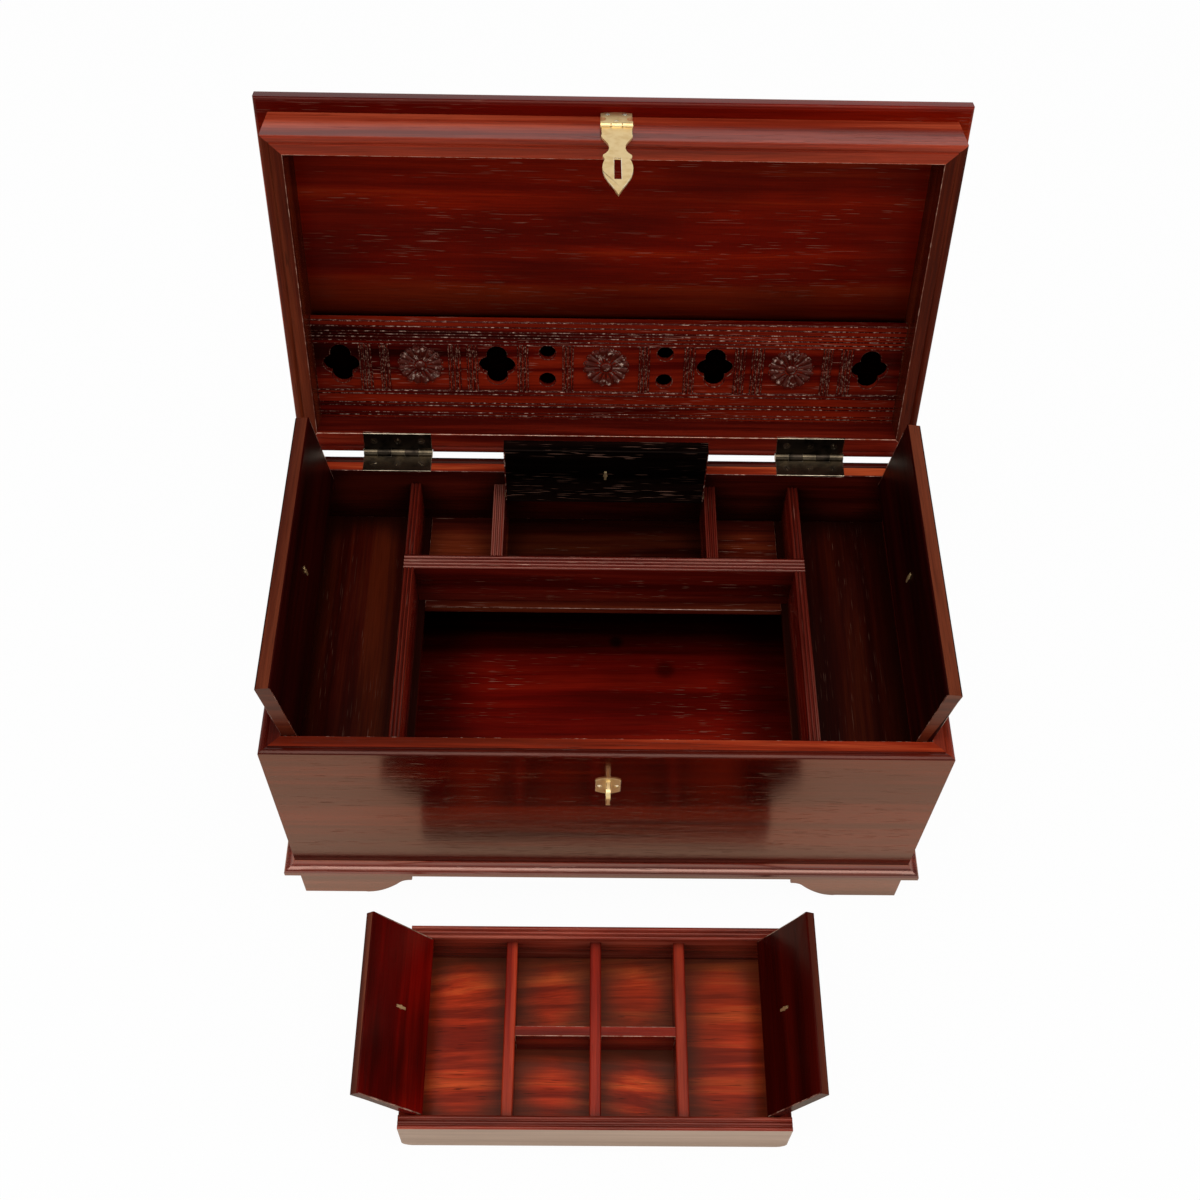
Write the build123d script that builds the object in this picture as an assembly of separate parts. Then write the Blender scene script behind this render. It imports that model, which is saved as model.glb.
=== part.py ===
from build123d import *
import math
import os

os.makedirs("parts", exist_ok=True)

# A hardwood box for papers and keepsakes, with its lid and flaps open and its loose tray in front of it.
# All sizes are in millimetres. Everything is laid out with z = 0 on the case rim and the case in the middle.
# Each piece is moved as it is written, so that the whole stands on z = 0 about its own middle.

# Case walls
case_width = 457.0
case_depth = 248.7
wall = 13.5
wall_height = 169.6
mitre_walls = 3
bottom_thickness = 12.6

# Step and bead along the outer part of each rim
bead_width = 5.2
bead_drop = 0.9
groove_slope = 0.3
groove_floor = 0.4

# Base moulding and feet
moulding_height = 10.7
moulding_projection = 8.0
cove_projection = 7.0
cove_height = 4.2
cove_sag = 3.0
cove_low_out = 2.33
nose_height = 5.5
foot_height = 48.0
foot_thickness = 12.0
foot_flat_length = 46.5
foot_length = 87.0
ogee_low_along = 63.0
ogee_low_up = 6.3
ogee_middle_along = 72.5
ogee_middle_up = 16.3
ogee_high_along = 84.0
ogee_high_up = 23.3

# Boards that floor the tills, their ledges and the dividers that stand on them
till_shift = -1.4
deck_thickness = 6.0
housing = 3.0
side_ledge = 5.0
back_ledge = 6.0
long_divider_centre = 141.4
long_divider_thickness = 7.6
cross_divider_front = 34.5
cross_divider_thickness = 11.2
short_divider_centre = 78.6
short_divider_thickness = 8.5
lap_height = 21.0
reed_rise = 0.8
reed_gap = 0.3

# Flaps over the tills
flap_thickness = 10.0
flap_drop = 4.5
flap_seat_gap = 0.3
flap_end_gap = 0.5
side_flap_from_wall = 6.3
side_flap_length = 70.5
centre_flap_from_wall = 5.8
centre_flap_length = 58.7
centre_flap_open = 90.0
flap_pin_radius = 2.0
flap_pin_in_wall = 8.0
short_divider_pin_depth = 6.0
flap_pin_in_flap = 11.0
running_gap = 0.05
bore_extra = 1.0
lean_gap = 0.05
edge_round = 1.0

# Small turned pulls, each fixed by a split pin with its legs bent over
pull_radius = 4.3
pull_height = 8.0
pull_collar_radius = 4.0
pull_collar_height = 1.2
pull_neck_radius = 1.9
pull_stem_radius = 1.5
pull_leg_length = 4.6
pull_leg_width = 1.8
pull_leg_thickness = 0.8
side_pull_from_pivot = 34.0
side_pull_y = 3.0
centre_pull_from_pivot = 31.0

# Lid
lid_open = 104.3
lid_gap = 0.3
hinge_behind = 3.72
rail_height = 35.5
lid_back_set = 3.3
barrel_room = 0.5
top_overhang = 9.4
top_height = 12.0
top_flat = 6.9
top_step_out = 7.2
top_step_up = 1.2
top_nose_radius = 2.0
top_edge_radius = 2.6

# Letter rack
rack_thickness = 6.0
rack_stand_off = 8.5
rack_height = 85.0
rack_shift = -1.7
rack_drawn_half = 215.0
band_low = 24.4
band_high = 65.3
band_depth = 1.3
carving_middle = 46.5
rosette_spacing = 136.0
rosette_radius = 16.5
rosette_petals = 16
rosette_groove = 0.9
rosette_bite = 1.5
rosette_boss = 4.6
round_hole_radius = 6.0
round_hole_offset = 43.0
round_hole_spread = 11.85
quatrefoil_offsets = (80.0, 194.0)
quatrefoil_lobe = 7.5
quatrefoil_across = 5.8
quatrefoil_up = 9.0
reed_groups = ((28.0, 8.0), (61.0, 8.0), (98.0, 8.0), (111.0, 9.0), (162.0, 7.0), (176.0, 9.0))
group_reeds = 3
rack_lines = (2.4, 11.2, 13.8, 21.7, 68.1, 71.2, 75.9, 80.0)
rack_line_radius = 0.6

# Butt hinges
hinge_width = 50.8
left_hinge_from_end = 72.5
right_hinge_from_end = 76.7
left_screw_turns = (20.0, 75.0, 140.0)
right_screw_turns = (110.0, 15.0, 60.0)
leaf_thickness = 1.6
knuckle_radius = 3.3
knuckle_count = 5
knuckle_gap = 0.1
hinge_pin_radius = 1.4
leaf_screw_spacing = 17.5
screw_head_radius = 2.7
screw_head_depth = 1.3
screw_shank_radius = 1.3
screw_length = 9.0
screw_slot_width = 0.7
screw_slot_depth = 0.6

# Hasp and staple
hasp_x = 1.2
hasp_knuckle_height = 14.8
hasp_knuckle_radius = 2.9
hasp_knuckle_stand_off = 0.35
hasp_width = 21.1
hasp_middle_knuckle = 6.6
hasp_knuckle_gap = 0.8
hasp_pin_radius = 1.0
hasp_plate_thickness = 3.2
hasp_notch_radius = 3.6
hasp_notch_height = 25.0
hasp_crown = 1.6
hasp_top_gap = 0.3
hasp_leaf_thickness = 1.4
hasp_leaf_back = 2.3
hasp_shoulder = (10.1, 0.8)
hasp_waist_points = ((9.3, -4.0), (6.7, -9.8), (5.2, -16.6), (6.1, -22.8), (8.9, -27.4))
hasp_ear_tip = (9.2, -29.6)
hasp_ear_foot = (7.8, -33.4)
hasp_spade_points = ((9.4, -41.8), (9.5, -47.6), (7.9, -58.2), (5.1, -66.4))
hasp_tip = (0.0, -80.5)
hasp_slot_top = -32.2
hasp_slot_bottom = -60.2
hasp_slot_width = 4.3
rivet_head_radius = 1.8
rivet_head_height = 0.6
rivet_shank_radius = 1.0
rivet_length = 6.0
rivet_spread = 5.6
upper_rivet_height = 32.2
lower_rivet_height = 21.6
staple_screw_turns = (35.0, 100.0)
staple_plate_width = 17.2
staple_plate_top = -30.4
staple_plate_bottom = -51.4
staple_plate_end_height = 14.4
staple_plate_thickness = 1.0
staple_screw_spread = 5.9
staple_head_radius = 1.8
staple_head_height = 0.8
staple_bar_width = 3.0
staple_bar_thickness = 2.6
staple_top = -32.6
staple_bottom = -50.2
staple_projection = 12.4
staple_in_wall = 6.0
staple_bend = 5.5

# Loose tray, standing on the ground in front of the case
tray_x = -4.65
tray_y = -240.05
tray_width = 270.3
tray_depth = 144.1
tray_height = 43.4
tray_board = 9.3
tray_end_board = 8.5
tray_corner_radius = 8.0
tray_floor_thickness = 3.3
tray_floor_joint = -246.0
tray_divider_spacing = 61.2
tray_divider_thickness = 8.0
tray_divider_height = 36.1
tray_cross_y = -242.4
tray_cross_thickness = 7.0
tray_flap_thickness = 7.0
tray_flap_from_end = 4.55
tray_flap_pivot_height = 39.9
tray_flap_length = 64.5
tray_flap_end_gap = 0.3
tray_left_lean = 36.0
tray_right_lean = 26.0
tray_pin_radius = 1.5
tray_pin_in_board = 6.0
tray_pin_in_flap = 9.0
tray_pull_from_pivot = 29.0
tray_pull_y = 4.0
tray_reeds = 3
divider_reeds = 3
cross_reeds = 4

# Long enough to pass right through anything it cuts
through = 600.0
half_turn = 180.0
quarter_turn = 90.0

half_width = case_width / 2
half_depth = case_depth / 2
staple_x = hasp_x
left_hinge_x = left_hinge_from_end - half_width
right_hinge_x = half_width - right_hinge_from_end
inner_x = half_width - wall
inner_y = half_depth - wall
ground = -(wall_height + moulding_height + foot_height)
divider_top = -(flap_drop + flap_thickness + flap_seat_gap)
deck_top = divider_top - tray_height
hinge_y = half_depth + hinge_behind
hinge_z = lid_gap / 2
rack_stretch = inner_x / rack_drawn_half


# Plain shapes


def block(x_low, x_high, y_low, y_high, z_low, z_high):
    middle = ((x_low + x_high) / 2, (y_low + y_high) / 2, (z_low + z_high) / 2)
    return Pos(*middle) * Box(x_high - x_low, y_high - y_low, z_high - z_low)


def rod(start, heading, radius, length):
    round_bar = Cylinder(radius, length, align=(Align.CENTER, Align.CENTER, Align.MIN))
    return Plane(origin=start, z_dir=heading).location * round_bar


def ball(middle, radius):
    return Pos(*middle) * Sphere(radius)


def face_of(*lines):
    outline = lines[0]
    for line in lines[1:]:
        outline = outline + line
    return make_face(outline)


def prism(section, plane, length):
    return extrude(plane.location * section, amount=length, dir=plane.z_dir)


def together(shapes):
    whole = shapes[0]
    for shape in shapes[1:]:
        whole = whole + shape
    return whole


def without(shape, cutters):
    for cutter in cutters:
        shape = shape - cutter
    return shape


# Lengths of wall, rail or moulding that meet in mitres at the corners of the case


outward = {"front": (0, -1), "back": (0, 1), "left": (-1, 0), "right": (1, 0)}


def mitred_length(section, side, base):
    out_x, out_y = outward[side]
    edge = half_width if out_x else half_depth
    other = half_depth if out_x else half_width
    origin = (out_x * edge, out_y * edge, base)
    plane = Plane(origin=origin, x_dir=(out_x, out_y, 0), z_dir=(out_y, -out_x, 0))
    long_piece = extrude(plane.location * section, amount=through, dir=plane.z_dir, both=True)
    reach = wall * mitre_walls
    narrow = other - reach
    wide = other + reach
    wedge_line = Polyline((-reach, -narrow), (reach, -wide), (reach, wide), (-reach, narrow), close=True)
    wedge_plane = Plane(origin=(out_x * edge, out_y * edge, base), x_dir=(out_x, out_y, 0), z_dir=(0, 0, 1))
    wedge = extrude(wedge_plane.location * make_face(wedge_line), amount=through, dir=(0, 0, 1), both=True)
    return long_piece & wedge


def rim_section(far_height, drop, thickness):
    groove_inner = -(bead_width + groove_floor + groove_slope)
    square = Polyline(
        (0, drop),
        (0, far_height),
        (-thickness, far_height),
        (-thickness, 0),
        (groove_inner, 0),
        (groove_inner + groove_slope, drop),
        (-bead_width, drop),
    )
    bead = ThreePointArc((-bead_width, drop), (-bead_width / 2, 0), (0, drop))
    return face_of(square, bead)


def reeded_section(width, bottom, top, reeds, rise):
    reed_width = (width - (reeds - 1) * reed_gap) / reeds
    start = -width / 2
    shoulder = top - rise
    lines = [Polyline((start, shoulder), (start, bottom), (-start, bottom), (-start, shoulder))]
    for number in range(reeds):
        left = start + number * (reed_width + reed_gap)
        right = left + reed_width
        lines.append(ThreePointArc((left, shoulder), ((left + right) / 2, top), (right, shoulder)))
        if number < reeds - 1:
            lines.append(Line((right, shoulder), (right + reed_gap, shoulder)))
    return face_of(*lines)


def bar_along_y(section, x, y_low, y_high):
    plane = Plane(origin=(x, y_low, 0), x_dir=(-1, 0, 0), z_dir=(0, 1, 0))
    return prism(section, plane, y_high - y_low)


def bar_along_x(section, y, x_low, x_high):
    plane = Plane(origin=(x_low, y, 0), x_dir=(0, 1, 0), z_dir=(1, 0, 0))
    return prism(section, plane, x_high - x_low)


# Fixings


def screw_blank(head_middle, outward_way):
    plane = Plane(origin=head_middle, z_dir=outward_way)
    head = Pos(0, 0, -screw_head_depth / 2) * Cone(screw_shank_radius, screw_head_radius, screw_head_depth)
    shank_length = screw_length - screw_head_depth
    shank = Pos(0, 0, -screw_head_depth - shank_length / 2) * Cylinder(screw_shank_radius, shank_length)
    return plane.location * (head + shank)


def slotted_screw(head_middle, outward_way, turn):
    plane = Plane(origin=head_middle, z_dir=outward_way)
    slot = Box(through, screw_slot_width, screw_slot_depth * 2)
    return screw_blank(head_middle, outward_way) - plane.location * (Rot(0, 0, turn) * slot)


def round_head(base, way, head_radius, head_height):
    dome_radius = (head_radius ** 2 + head_height ** 2) / (2 * head_height)
    dome = Pos(0, 0, head_height - dome_radius) * Sphere(dome_radius)
    keep = Pos(0, 0, head_height) * Cylinder(head_radius * 2, head_height * 2)
    shank = Pos(0, 0, -rivet_length / 2) * Cylinder(rivet_shank_radius, rivet_length)
    return Plane(origin=base, z_dir=way).location * ((dome & keep) + shank)


# A flap lies along +X from its pivot, with its show face up and its pivot along Y


def flap_plate(length, width, thickness, pin_radius, pin_depth, pull_from_pivot, pull_y):
    half = thickness / 2
    plate = block(0, length, -width / 2, width / 2, -half, half)
    free_edges = plate.edges().filter_by(Axis.Y).sort_by(Axis.X)[-2:]
    plate = fillet(free_edges, edge_round)
    plate = plate + rod((0, -width / 2, 0), (0, 1, 0), half, width)
    for end in (-1, 1):
        bore_depth = pin_depth + bore_extra
        plate = plate - rod((0, end * width / 2, 0), (0, -end, 0), pin_radius + running_gap, bore_depth)
    return plate - rod((pull_from_pivot, pull_y, -half), (0, 0, 1), pull_stem_radius, thickness)


def flap_pull(thickness, pull_from_pivot, pull_y):
    half = thickness / 2
    base = (pull_from_pivot, pull_y, half)
    stem_start = (pull_from_pivot, pull_y, -half - pull_leg_thickness)
    up = (0, 0, 1)
    stem = rod(stem_start, up, pull_stem_radius, thickness + pull_leg_thickness)
    collar = rod(base, up, pull_collar_radius, pull_collar_height)
    neck = rod(base, up, pull_neck_radius, pull_height)
    knob = ball((pull_from_pivot, pull_y, half + pull_height), pull_radius)
    leg_low = -half - pull_leg_thickness
    side = pull_leg_width / 2
    legs = block(
        pull_from_pivot - pull_leg_length,
        pull_from_pivot + pull_leg_length,
        pull_y - side,
        pull_y + side,
        leg_low,
        -half,
    )
    return together([stem, collar, neck, knob, legs])


def placed_flap(shape, pivot, heading, opened):
    lifted = shape.rotate(Axis.Y, -opened)
    return Pos(*pivot) * (Rot(0, 0, heading) * lifted)


def lean_past_upright(across, up, half_thickness):
    # How far a flap leans back before its face meets the corner that stops it
    reach = math.hypot(across, up)
    turned = math.acos((half_thickness + lean_gap) / reach) - math.atan2(up, across)
    return math.degrees(turned)


# Pins the flaps turn on, each fixed in a wall and reaching into the end of a flap


def pivot_pins(pivot, along, half_span, in_wall, in_flap, end_gap, radius):
    pins = []
    for end in (-1, 1):
        way = (along[0] * end, along[1] * end, 0)
        inner = half_span - end_gap - in_flap
        start = (pivot[0] + way[0] * inner, pivot[1] + way[1] * inner, pivot[2])
        pins.append(rod(start, way, radius, in_flap + end_gap + in_wall))
    return pins


side_pivot_x = inner_x - side_flap_from_wall
side_pivot_z = -(flap_drop + flap_thickness / 2)
side_lean = lean_past_upright(side_flap_from_wall, -side_pivot_z, flap_thickness / 2)
side_flap_open = quarter_turn + side_lean
side_flap_width = 2 * (inner_y - flap_end_gap)
left_pivot = (-side_pivot_x, 0, side_pivot_z)
right_pivot = (side_pivot_x, 0, side_pivot_z)
side_pins = []
for pivot in (left_pivot, right_pivot):
    side_pins += pivot_pins(
        pivot, (0, 1), inner_y, flap_pin_in_wall, flap_pin_in_flap, flap_end_gap, flap_pin_radius
    )

left_short_x = till_shift - short_divider_centre
right_short_x = till_shift + short_divider_centre
centre_span = short_divider_centre - short_divider_thickness / 2
centre_pivot_z = divider_top - flap_thickness / 2
centre_pivot = (till_shift, inner_y - centre_flap_from_wall, centre_pivot_z)
centre_flap_width = 2 * (centre_span - flap_end_gap)
centre_pin_sizes = (short_divider_pin_depth, flap_pin_in_flap, flap_end_gap, flap_pin_radius)
centre_pins = pivot_pins(centre_pivot, (1, 0), centre_span, *centre_pin_sizes)

# Till floors, set into the walls, with ledges standing out past the dividers

left_ledge_x = till_shift - long_divider_centre + long_divider_thickness / 2 + side_ledge
right_ledge_x = till_shift + long_divider_centre - long_divider_thickness / 2 - side_ledge
back_ledge_y = cross_divider_front - back_ledge
deck_bottom = deck_top - deck_thickness
housed_x = inner_x + housing
housed_y = inner_y + housing
left_compartment_floor = block(-housed_x, left_ledge_x, -housed_y, housed_y, deck_bottom, deck_top)
right_compartment_floor = block(right_ledge_x, housed_x, -housed_y, housed_y, deck_bottom, deck_top)
till_floor = block(left_ledge_x, right_ledge_x, back_ledge_y, housed_y, deck_bottom, deck_top)
decks = [left_compartment_floor, right_compartment_floor, till_floor]

# Dividers; the cross divider is halved over the long ones

left_long_x = till_shift - long_divider_centre
right_long_x = till_shift + long_divider_centre
cross_back = cross_divider_front + cross_divider_thickness
cross_y = (cross_divider_front + cross_back) / 2
cross_left = left_long_x - long_divider_thickness / 2
cross_right = right_long_x + long_divider_thickness / 2
lap_level = deck_top + lap_height
long_section = reeded_section(long_divider_thickness, deck_top, divider_top, divider_reeds, reed_rise)
cross_section = reeded_section(cross_divider_thickness, deck_top, divider_top, cross_reeds, reed_rise)
short_section = reeded_section(short_divider_thickness, deck_top, divider_top, divider_reeds, reed_rise)
long_dividers = []
for x in (left_long_x, right_long_x):
    divider = bar_along_y(long_section, x, -inner_y, inner_y)
    notch = block(x - wall, x + wall, cross_divider_front, cross_back, lap_level, 0)
    long_dividers.append(divider - notch)
cross_divider = bar_along_x(cross_section, cross_y, cross_left, cross_right)
for x in (left_long_x, right_long_x):
    half = long_divider_thickness / 2
    cross_divider = cross_divider - block(x - half, x + half, 0, cross_back * 2, deck_bottom, lap_level)
short_dividers = []
for x in (left_short_x, right_short_x):
    short_dividers.append(without(bar_along_y(short_section, x, cross_back, inner_y), centre_pins))

# Staple, its plate and screws

face_y = -half_depth
staple_legs_y = face_y + staple_in_wall
staple_tip_y = face_y - staple_projection
half_bar = staple_bar_width / 2
bar_block = block(
    staple_x - half_bar, staple_x + half_bar, staple_tip_y, staple_legs_y, staple_bottom, staple_top
)
bend_edges = bar_block.edges().filter_by(Axis.X).sort_by(Axis.Y)[:2]
staple_outer = fillet(bend_edges, staple_bend)
opening_block = block(
    staple_x - staple_bar_width,
    staple_x + staple_bar_width,
    staple_tip_y + staple_bar_thickness,
    staple_legs_y,
    staple_bottom + staple_bar_thickness,
    staple_top - staple_bar_thickness,
)
inner_edges = opening_block.edges().filter_by(Axis.X).sort_by(Axis.Y)[:2]
staple_loop = staple_outer - fillet(inner_edges, staple_bend - staple_bar_thickness)

plate_half = staple_plate_width / 2
plate_middle = (staple_plate_top + staple_plate_bottom) / 2
end_high = plate_middle + staple_plate_end_height / 2
end_low = plate_middle - staple_plate_end_height / 2
barrel = face_of(
    Line((-plate_half, end_low), (-plate_half, end_high)),
    ThreePointArc((-plate_half, end_high), (0, staple_plate_top), (plate_half, end_high)),
    Line((plate_half, end_high), (plate_half, end_low)),
    ThreePointArc((plate_half, end_low), (0, staple_plate_bottom), (-plate_half, end_low)),
)
staple_face = Plane(origin=(staple_x, face_y, 0), x_dir=(1, 0, 0), z_dir=(0, -1, 0))
staple_plate = prism(barrel, staple_face, staple_plate_thickness) - staple_loop
staple_screws = []
staple_blanks = []
for side, turn in zip((-1, 1), staple_screw_turns):
    head_base = (staple_x + side * staple_screw_spread, face_y - staple_plate_thickness, plate_middle)
    blank = round_head(head_base, (0, -1, 0), staple_head_radius, staple_head_height)
    slot_middle = (head_base[0], head_base[1] - staple_head_height, plate_middle)
    slot_plane = Plane(origin=slot_middle, z_dir=(0, -1, 0))
    slot = Rot(0, 0, turn) * Box(through, screw_slot_width, screw_slot_depth * 2)
    staple_screws.append(blank - slot_plane.location * slot)
    staple_blanks.append(blank)
staple_plate = without(staple_plate, staple_blanks)

# Butt hinges: the case leaf has the odd knuckles and the lid leaf the even ones

knuckle_length = hinge_width / knuckle_count


def butt_leaf(x_middle, numbers, plate_low, plate_high):
    start = x_middle - hinge_width / 2
    plate = block(start, start + hinge_width, inner_y, hinge_y, plate_low, plate_high)
    barrels = []
    for number in range(knuckle_count):
        low = start + number * knuckle_length
        if number in numbers:
            gap_low = knuckle_gap if number > 0 else 0
            gap_high = knuckle_gap if number < knuckle_count - 1 else 0
            length = knuckle_length - gap_low - gap_high
            barrels.append(rod((low + gap_low, hinge_y, hinge_z), (1, 0, 0), knuckle_radius, length))
            for edge in (low, low + knuckle_length - knuckle_gap):
                if start < edge < start + hinge_width - knuckle_gap * 2:
                    plate = plate - block(
                        edge, edge + knuckle_gap, half_depth, hinge_y * 2, -wall, wall
                    )
        else:
            clear = block(low, low + knuckle_length, half_depth, hinge_y * 2, -wall, wall)
            plate = plate - clear
    return together([plate] + barrels)


def leaf_screws(x_middle, level, outward_way, turns):
    screws = []
    blanks = []
    for position, turn in zip((-1, 0, 1), turns):
        head_middle = (x_middle + position * leaf_screw_spacing, half_depth - wall / 2, level)
        screws.append(slotted_screw(head_middle, outward_way, turn))
        blanks.append(screw_blank(head_middle, outward_way))
    return screws, blanks


case_leaves = []
lid_leaves = []
hinge_pins = []
case_screws = []
case_blanks = []
lid_screws = []
lid_blanks = []
screw_turns = {left_hinge_x: left_screw_turns, right_hinge_x: right_screw_turns}
for x in (left_hinge_x, right_hinge_x):
    pin_start = (x - hinge_width / 2, hinge_y, hinge_z)
    pin = rod(pin_start, (1, 0, 0), hinge_pin_radius, hinge_width)
    loose_pin = rod(pin_start, (1, 0, 0), hinge_pin_radius + running_gap, hinge_width)
    screws, blanks = leaf_screws(x, 0, (0, 0, 1), screw_turns[x])
    case_leaves.append(without(butt_leaf(x, (0, 2, 4), -leaf_thickness, 0), blanks + [pin]))
    case_screws += screws
    case_blanks += blanks
    screws, blanks = leaf_screws(x, lid_gap, (0, 0, -1), screw_turns[x][::-1])
    leaf = butt_leaf(x, (1, 3), lid_gap, lid_gap + leaf_thickness)
    lid_leaves.append(without(leaf, blanks + [loose_pin]))
    lid_screws += screws
    lid_blanks += blanks
    hinge_pins.append(pin)


def leaf_recess(x_middle, low, high):
    half = hinge_width / 2
    return block(x_middle - half, x_middle + half, inner_y, hinge_y, low, high)


case_recesses = [leaf_recess(x, -leaf_thickness, 0) for x in (left_hinge_x, right_hinge_x)]
lid_recesses = [leaf_recess(x, lid_gap, lid_gap + leaf_thickness) for x in (left_hinge_x, right_hinge_x)]

# Case walls, bottom, base moulding and feet

wall_section = rim_section(-wall_height, -bead_drop, wall)
case_front = mitred_length(wall_section, "front", 0)
case_front = without(case_front, decks + side_pins + [staple_loop] + staple_blanks)
case_back = mitred_length(wall_section, "back", 0)
case_back = without(case_back, decks + side_pins + case_recesses + case_blanks)
case_left_side = without(mitred_length(wall_section, "left", 0), decks)
case_right_side = without(mitred_length(wall_section, "right", 0), decks)
bottom_top = -wall_height + bottom_thickness
case_bottom = block(-inner_x, inner_x, -inner_y, inner_y, -wall_height, bottom_top)

moulding_section = face_of(
    Polyline(
        (cove_projection, -cove_height),
        (moulding_projection, -nose_height),
        (moulding_projection, -moulding_height + bead_drop),
        (moulding_projection - bead_drop, -moulding_height),
        (-wall, -moulding_height),
        (-wall, 0),
        (0, 0),
    ),
    ThreePointArc((0, 0), (cove_low_out, -cove_sag), (cove_projection, -cove_height)),
)
base_moulding = [mitred_length(moulding_section, side, -wall_height) for side in outward]

foot_top = -(wall_height + moulding_height)
foot_outline = face_of(
    Polyline((foot_length, foot_top), (0, foot_top), (0, ground), (foot_flat_length, ground)),
    Spline(
        (foot_flat_length, ground),
        (ogee_low_along, ground + ogee_low_up),
        (ogee_middle_along, ground + ogee_middle_up),
        (ogee_high_along, ground + ogee_high_up),
        tangents=((1, 0), (1, 0)),
    ),
    Line((ogee_high_along, ground + ogee_high_up), (foot_length, foot_top)),
)
corner = (-half_width, -half_depth, 0)
along_front = Plane(origin=corner, x_dir=(1, 0, 0), z_dir=(0, -1, 0))
front_bracket = extrude(along_front.location * foot_outline, amount=foot_thickness, dir=(0, 1, 0))
along_side = Plane(origin=corner, x_dir=(0, 1, 0), z_dir=(1, 0, 0))
side_bracket = extrude(along_side.location * foot_outline, amount=foot_thickness, dir=(1, 0, 0))
front_left_foot = front_bracket + side_bracket
front_right_foot = front_left_foot.mirror(Plane.YZ)
back_left_foot = front_left_foot.mirror(Plane.XZ)
back_right_foot = front_right_foot.mirror(Plane.XZ)

# Lid, laid out shut

rail_section = rim_section(rail_height, bead_drop, wall)
lid_front_rail = mitred_length(rail_section, "front", lid_gap)
lid_left_rail = mitred_length(rail_section, "left", lid_gap)
lid_right_rail = mitred_length(rail_section, "right", lid_gap)

# The back rail is thicker than the others and stands out behind the case, with hollows for the hinge barrels

back_rail_section = Pos(lid_back_set, 0, 0) * rim_section(rail_height, bead_drop, wall + lid_back_set)
lid_back_rail = mitred_length(back_rail_section, "back", lid_gap)
lid_back_rail = lid_back_rail & block(
    -half_width, half_width, 0, half_depth + lid_back_set, lid_gap, lid_gap + rail_height
)
lid_back_rail = without(lid_back_rail, lid_recesses + lid_blanks)
for x in (left_hinge_x, right_hinge_x):
    hollow_start = (x - hinge_width / 2 - barrel_room, hinge_y, hinge_z)
    hollow = rod(hollow_start, (1, 0, 0), knuckle_radius + barrel_room, hinge_width + barrel_room * 2)
    lid_back_rail = lid_back_rail - hollow

top_base = lid_gap + rail_height


def board_section(half):
    far = half + top_overhang
    step = half + top_step_out
    right = [(half + top_flat, 0), (step, top_step_up), (far, top_step_up), (far, top_height)]
    left = [(-across, up) for across, up in reversed(right)]
    square = make_face(Polyline(*right, *left, close=True))
    outer = [corner for corner in square.vertices() if abs(corner.X) > step + top_step_up]
    low_corners = [corner for corner in outer if corner.Y < top_height / 2]
    nosed = fillet(low_corners, top_nose_radius)
    high_corners = [corner for corner in nosed.vertices() if corner.Y > top_nose_radius * 2]
    return fillet(high_corners, top_edge_radius)


wide_plane = Plane(origin=(0, -half_depth * 2, top_base), x_dir=(-1, 0, 0), z_dir=(0, 1, 0))
deep_plane = Plane(origin=(-half_width * 2, 0, top_base), x_dir=(0, 1, 0), z_dir=(1, 0, 0))
wide_board = prism(board_section(half_width), wide_plane, case_depth * 2)
deep_board = prism(board_section(half_depth), deep_plane, case_width * 2)
lid_top_board = wide_board & deep_board

# Letter rack, laid out flat in the shut lid: rack_up runs from the back rail toward the front

rack_front_level = top_base - rack_stand_off - rack_thickness
rack_back_level = top_base - rack_stand_off
rack_bottom_y = inner_y


def rack_y(up):
    return rack_bottom_y - up


letter_rack = block(-inner_x, inner_x, rack_y(rack_height), rack_y(0), rack_front_level, rack_back_level)
band = block(
    -inner_x, inner_x, rack_y(band_high), rack_y(band_low), rack_front_level, rack_front_level + band_depth
)
letter_rack = letter_rack - band
for up in rack_lines:
    line = rod((-inner_x, rack_y(up), rack_front_level), (1, 0, 0), rack_line_radius, inner_x * 2)
    letter_rack = letter_rack - line


def rosette(x):
    floor = rack_front_level + band_depth
    disc = rod((x, rack_y(carving_middle), floor), (0, 0, -1), rosette_radius, band_depth)
    cutters = []
    for number in range(rosette_petals):
        angle = math.radians(number * half_turn * 2 / rosette_petals)
        way = (math.cos(angle), math.sin(angle), 0)
        start = (x, rack_y(carving_middle), rack_front_level)
        cutters.append(rod(start, way, rosette_groove, rosette_radius * 2))
        rim = (start[0] + way[0] * rosette_radius, start[1] + way[1] * rosette_radius, floor)
        cutters.append(rod(rim, (0, 0, -1), rosette_bite, band_depth * 2))
    petals = disc - together(cutters)
    boss = rod((x, rack_y(carving_middle), floor), (0, 0, -1), rosette_boss, band_depth)
    return petals + boss


for number in (-1, 0, 1):
    letter_rack = letter_rack + rosette(rack_shift + number * rosette_spacing * rack_stretch)

group_section_top = band_depth
for offset, group_width in reed_groups:
    for side in (-1, 1):
        x = rack_shift + side * offset * rack_stretch
        section = reeded_section(group_width, 0, group_section_top, group_reeds, reed_rise)
        plane = Plane(
            origin=(x, rack_y(band_low), rack_front_level + band_depth), x_dir=(-1, 0, 0), z_dir=(0, -1, 0)
        )
        letter_rack = letter_rack + prism(section, plane, band_high - band_low)

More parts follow.
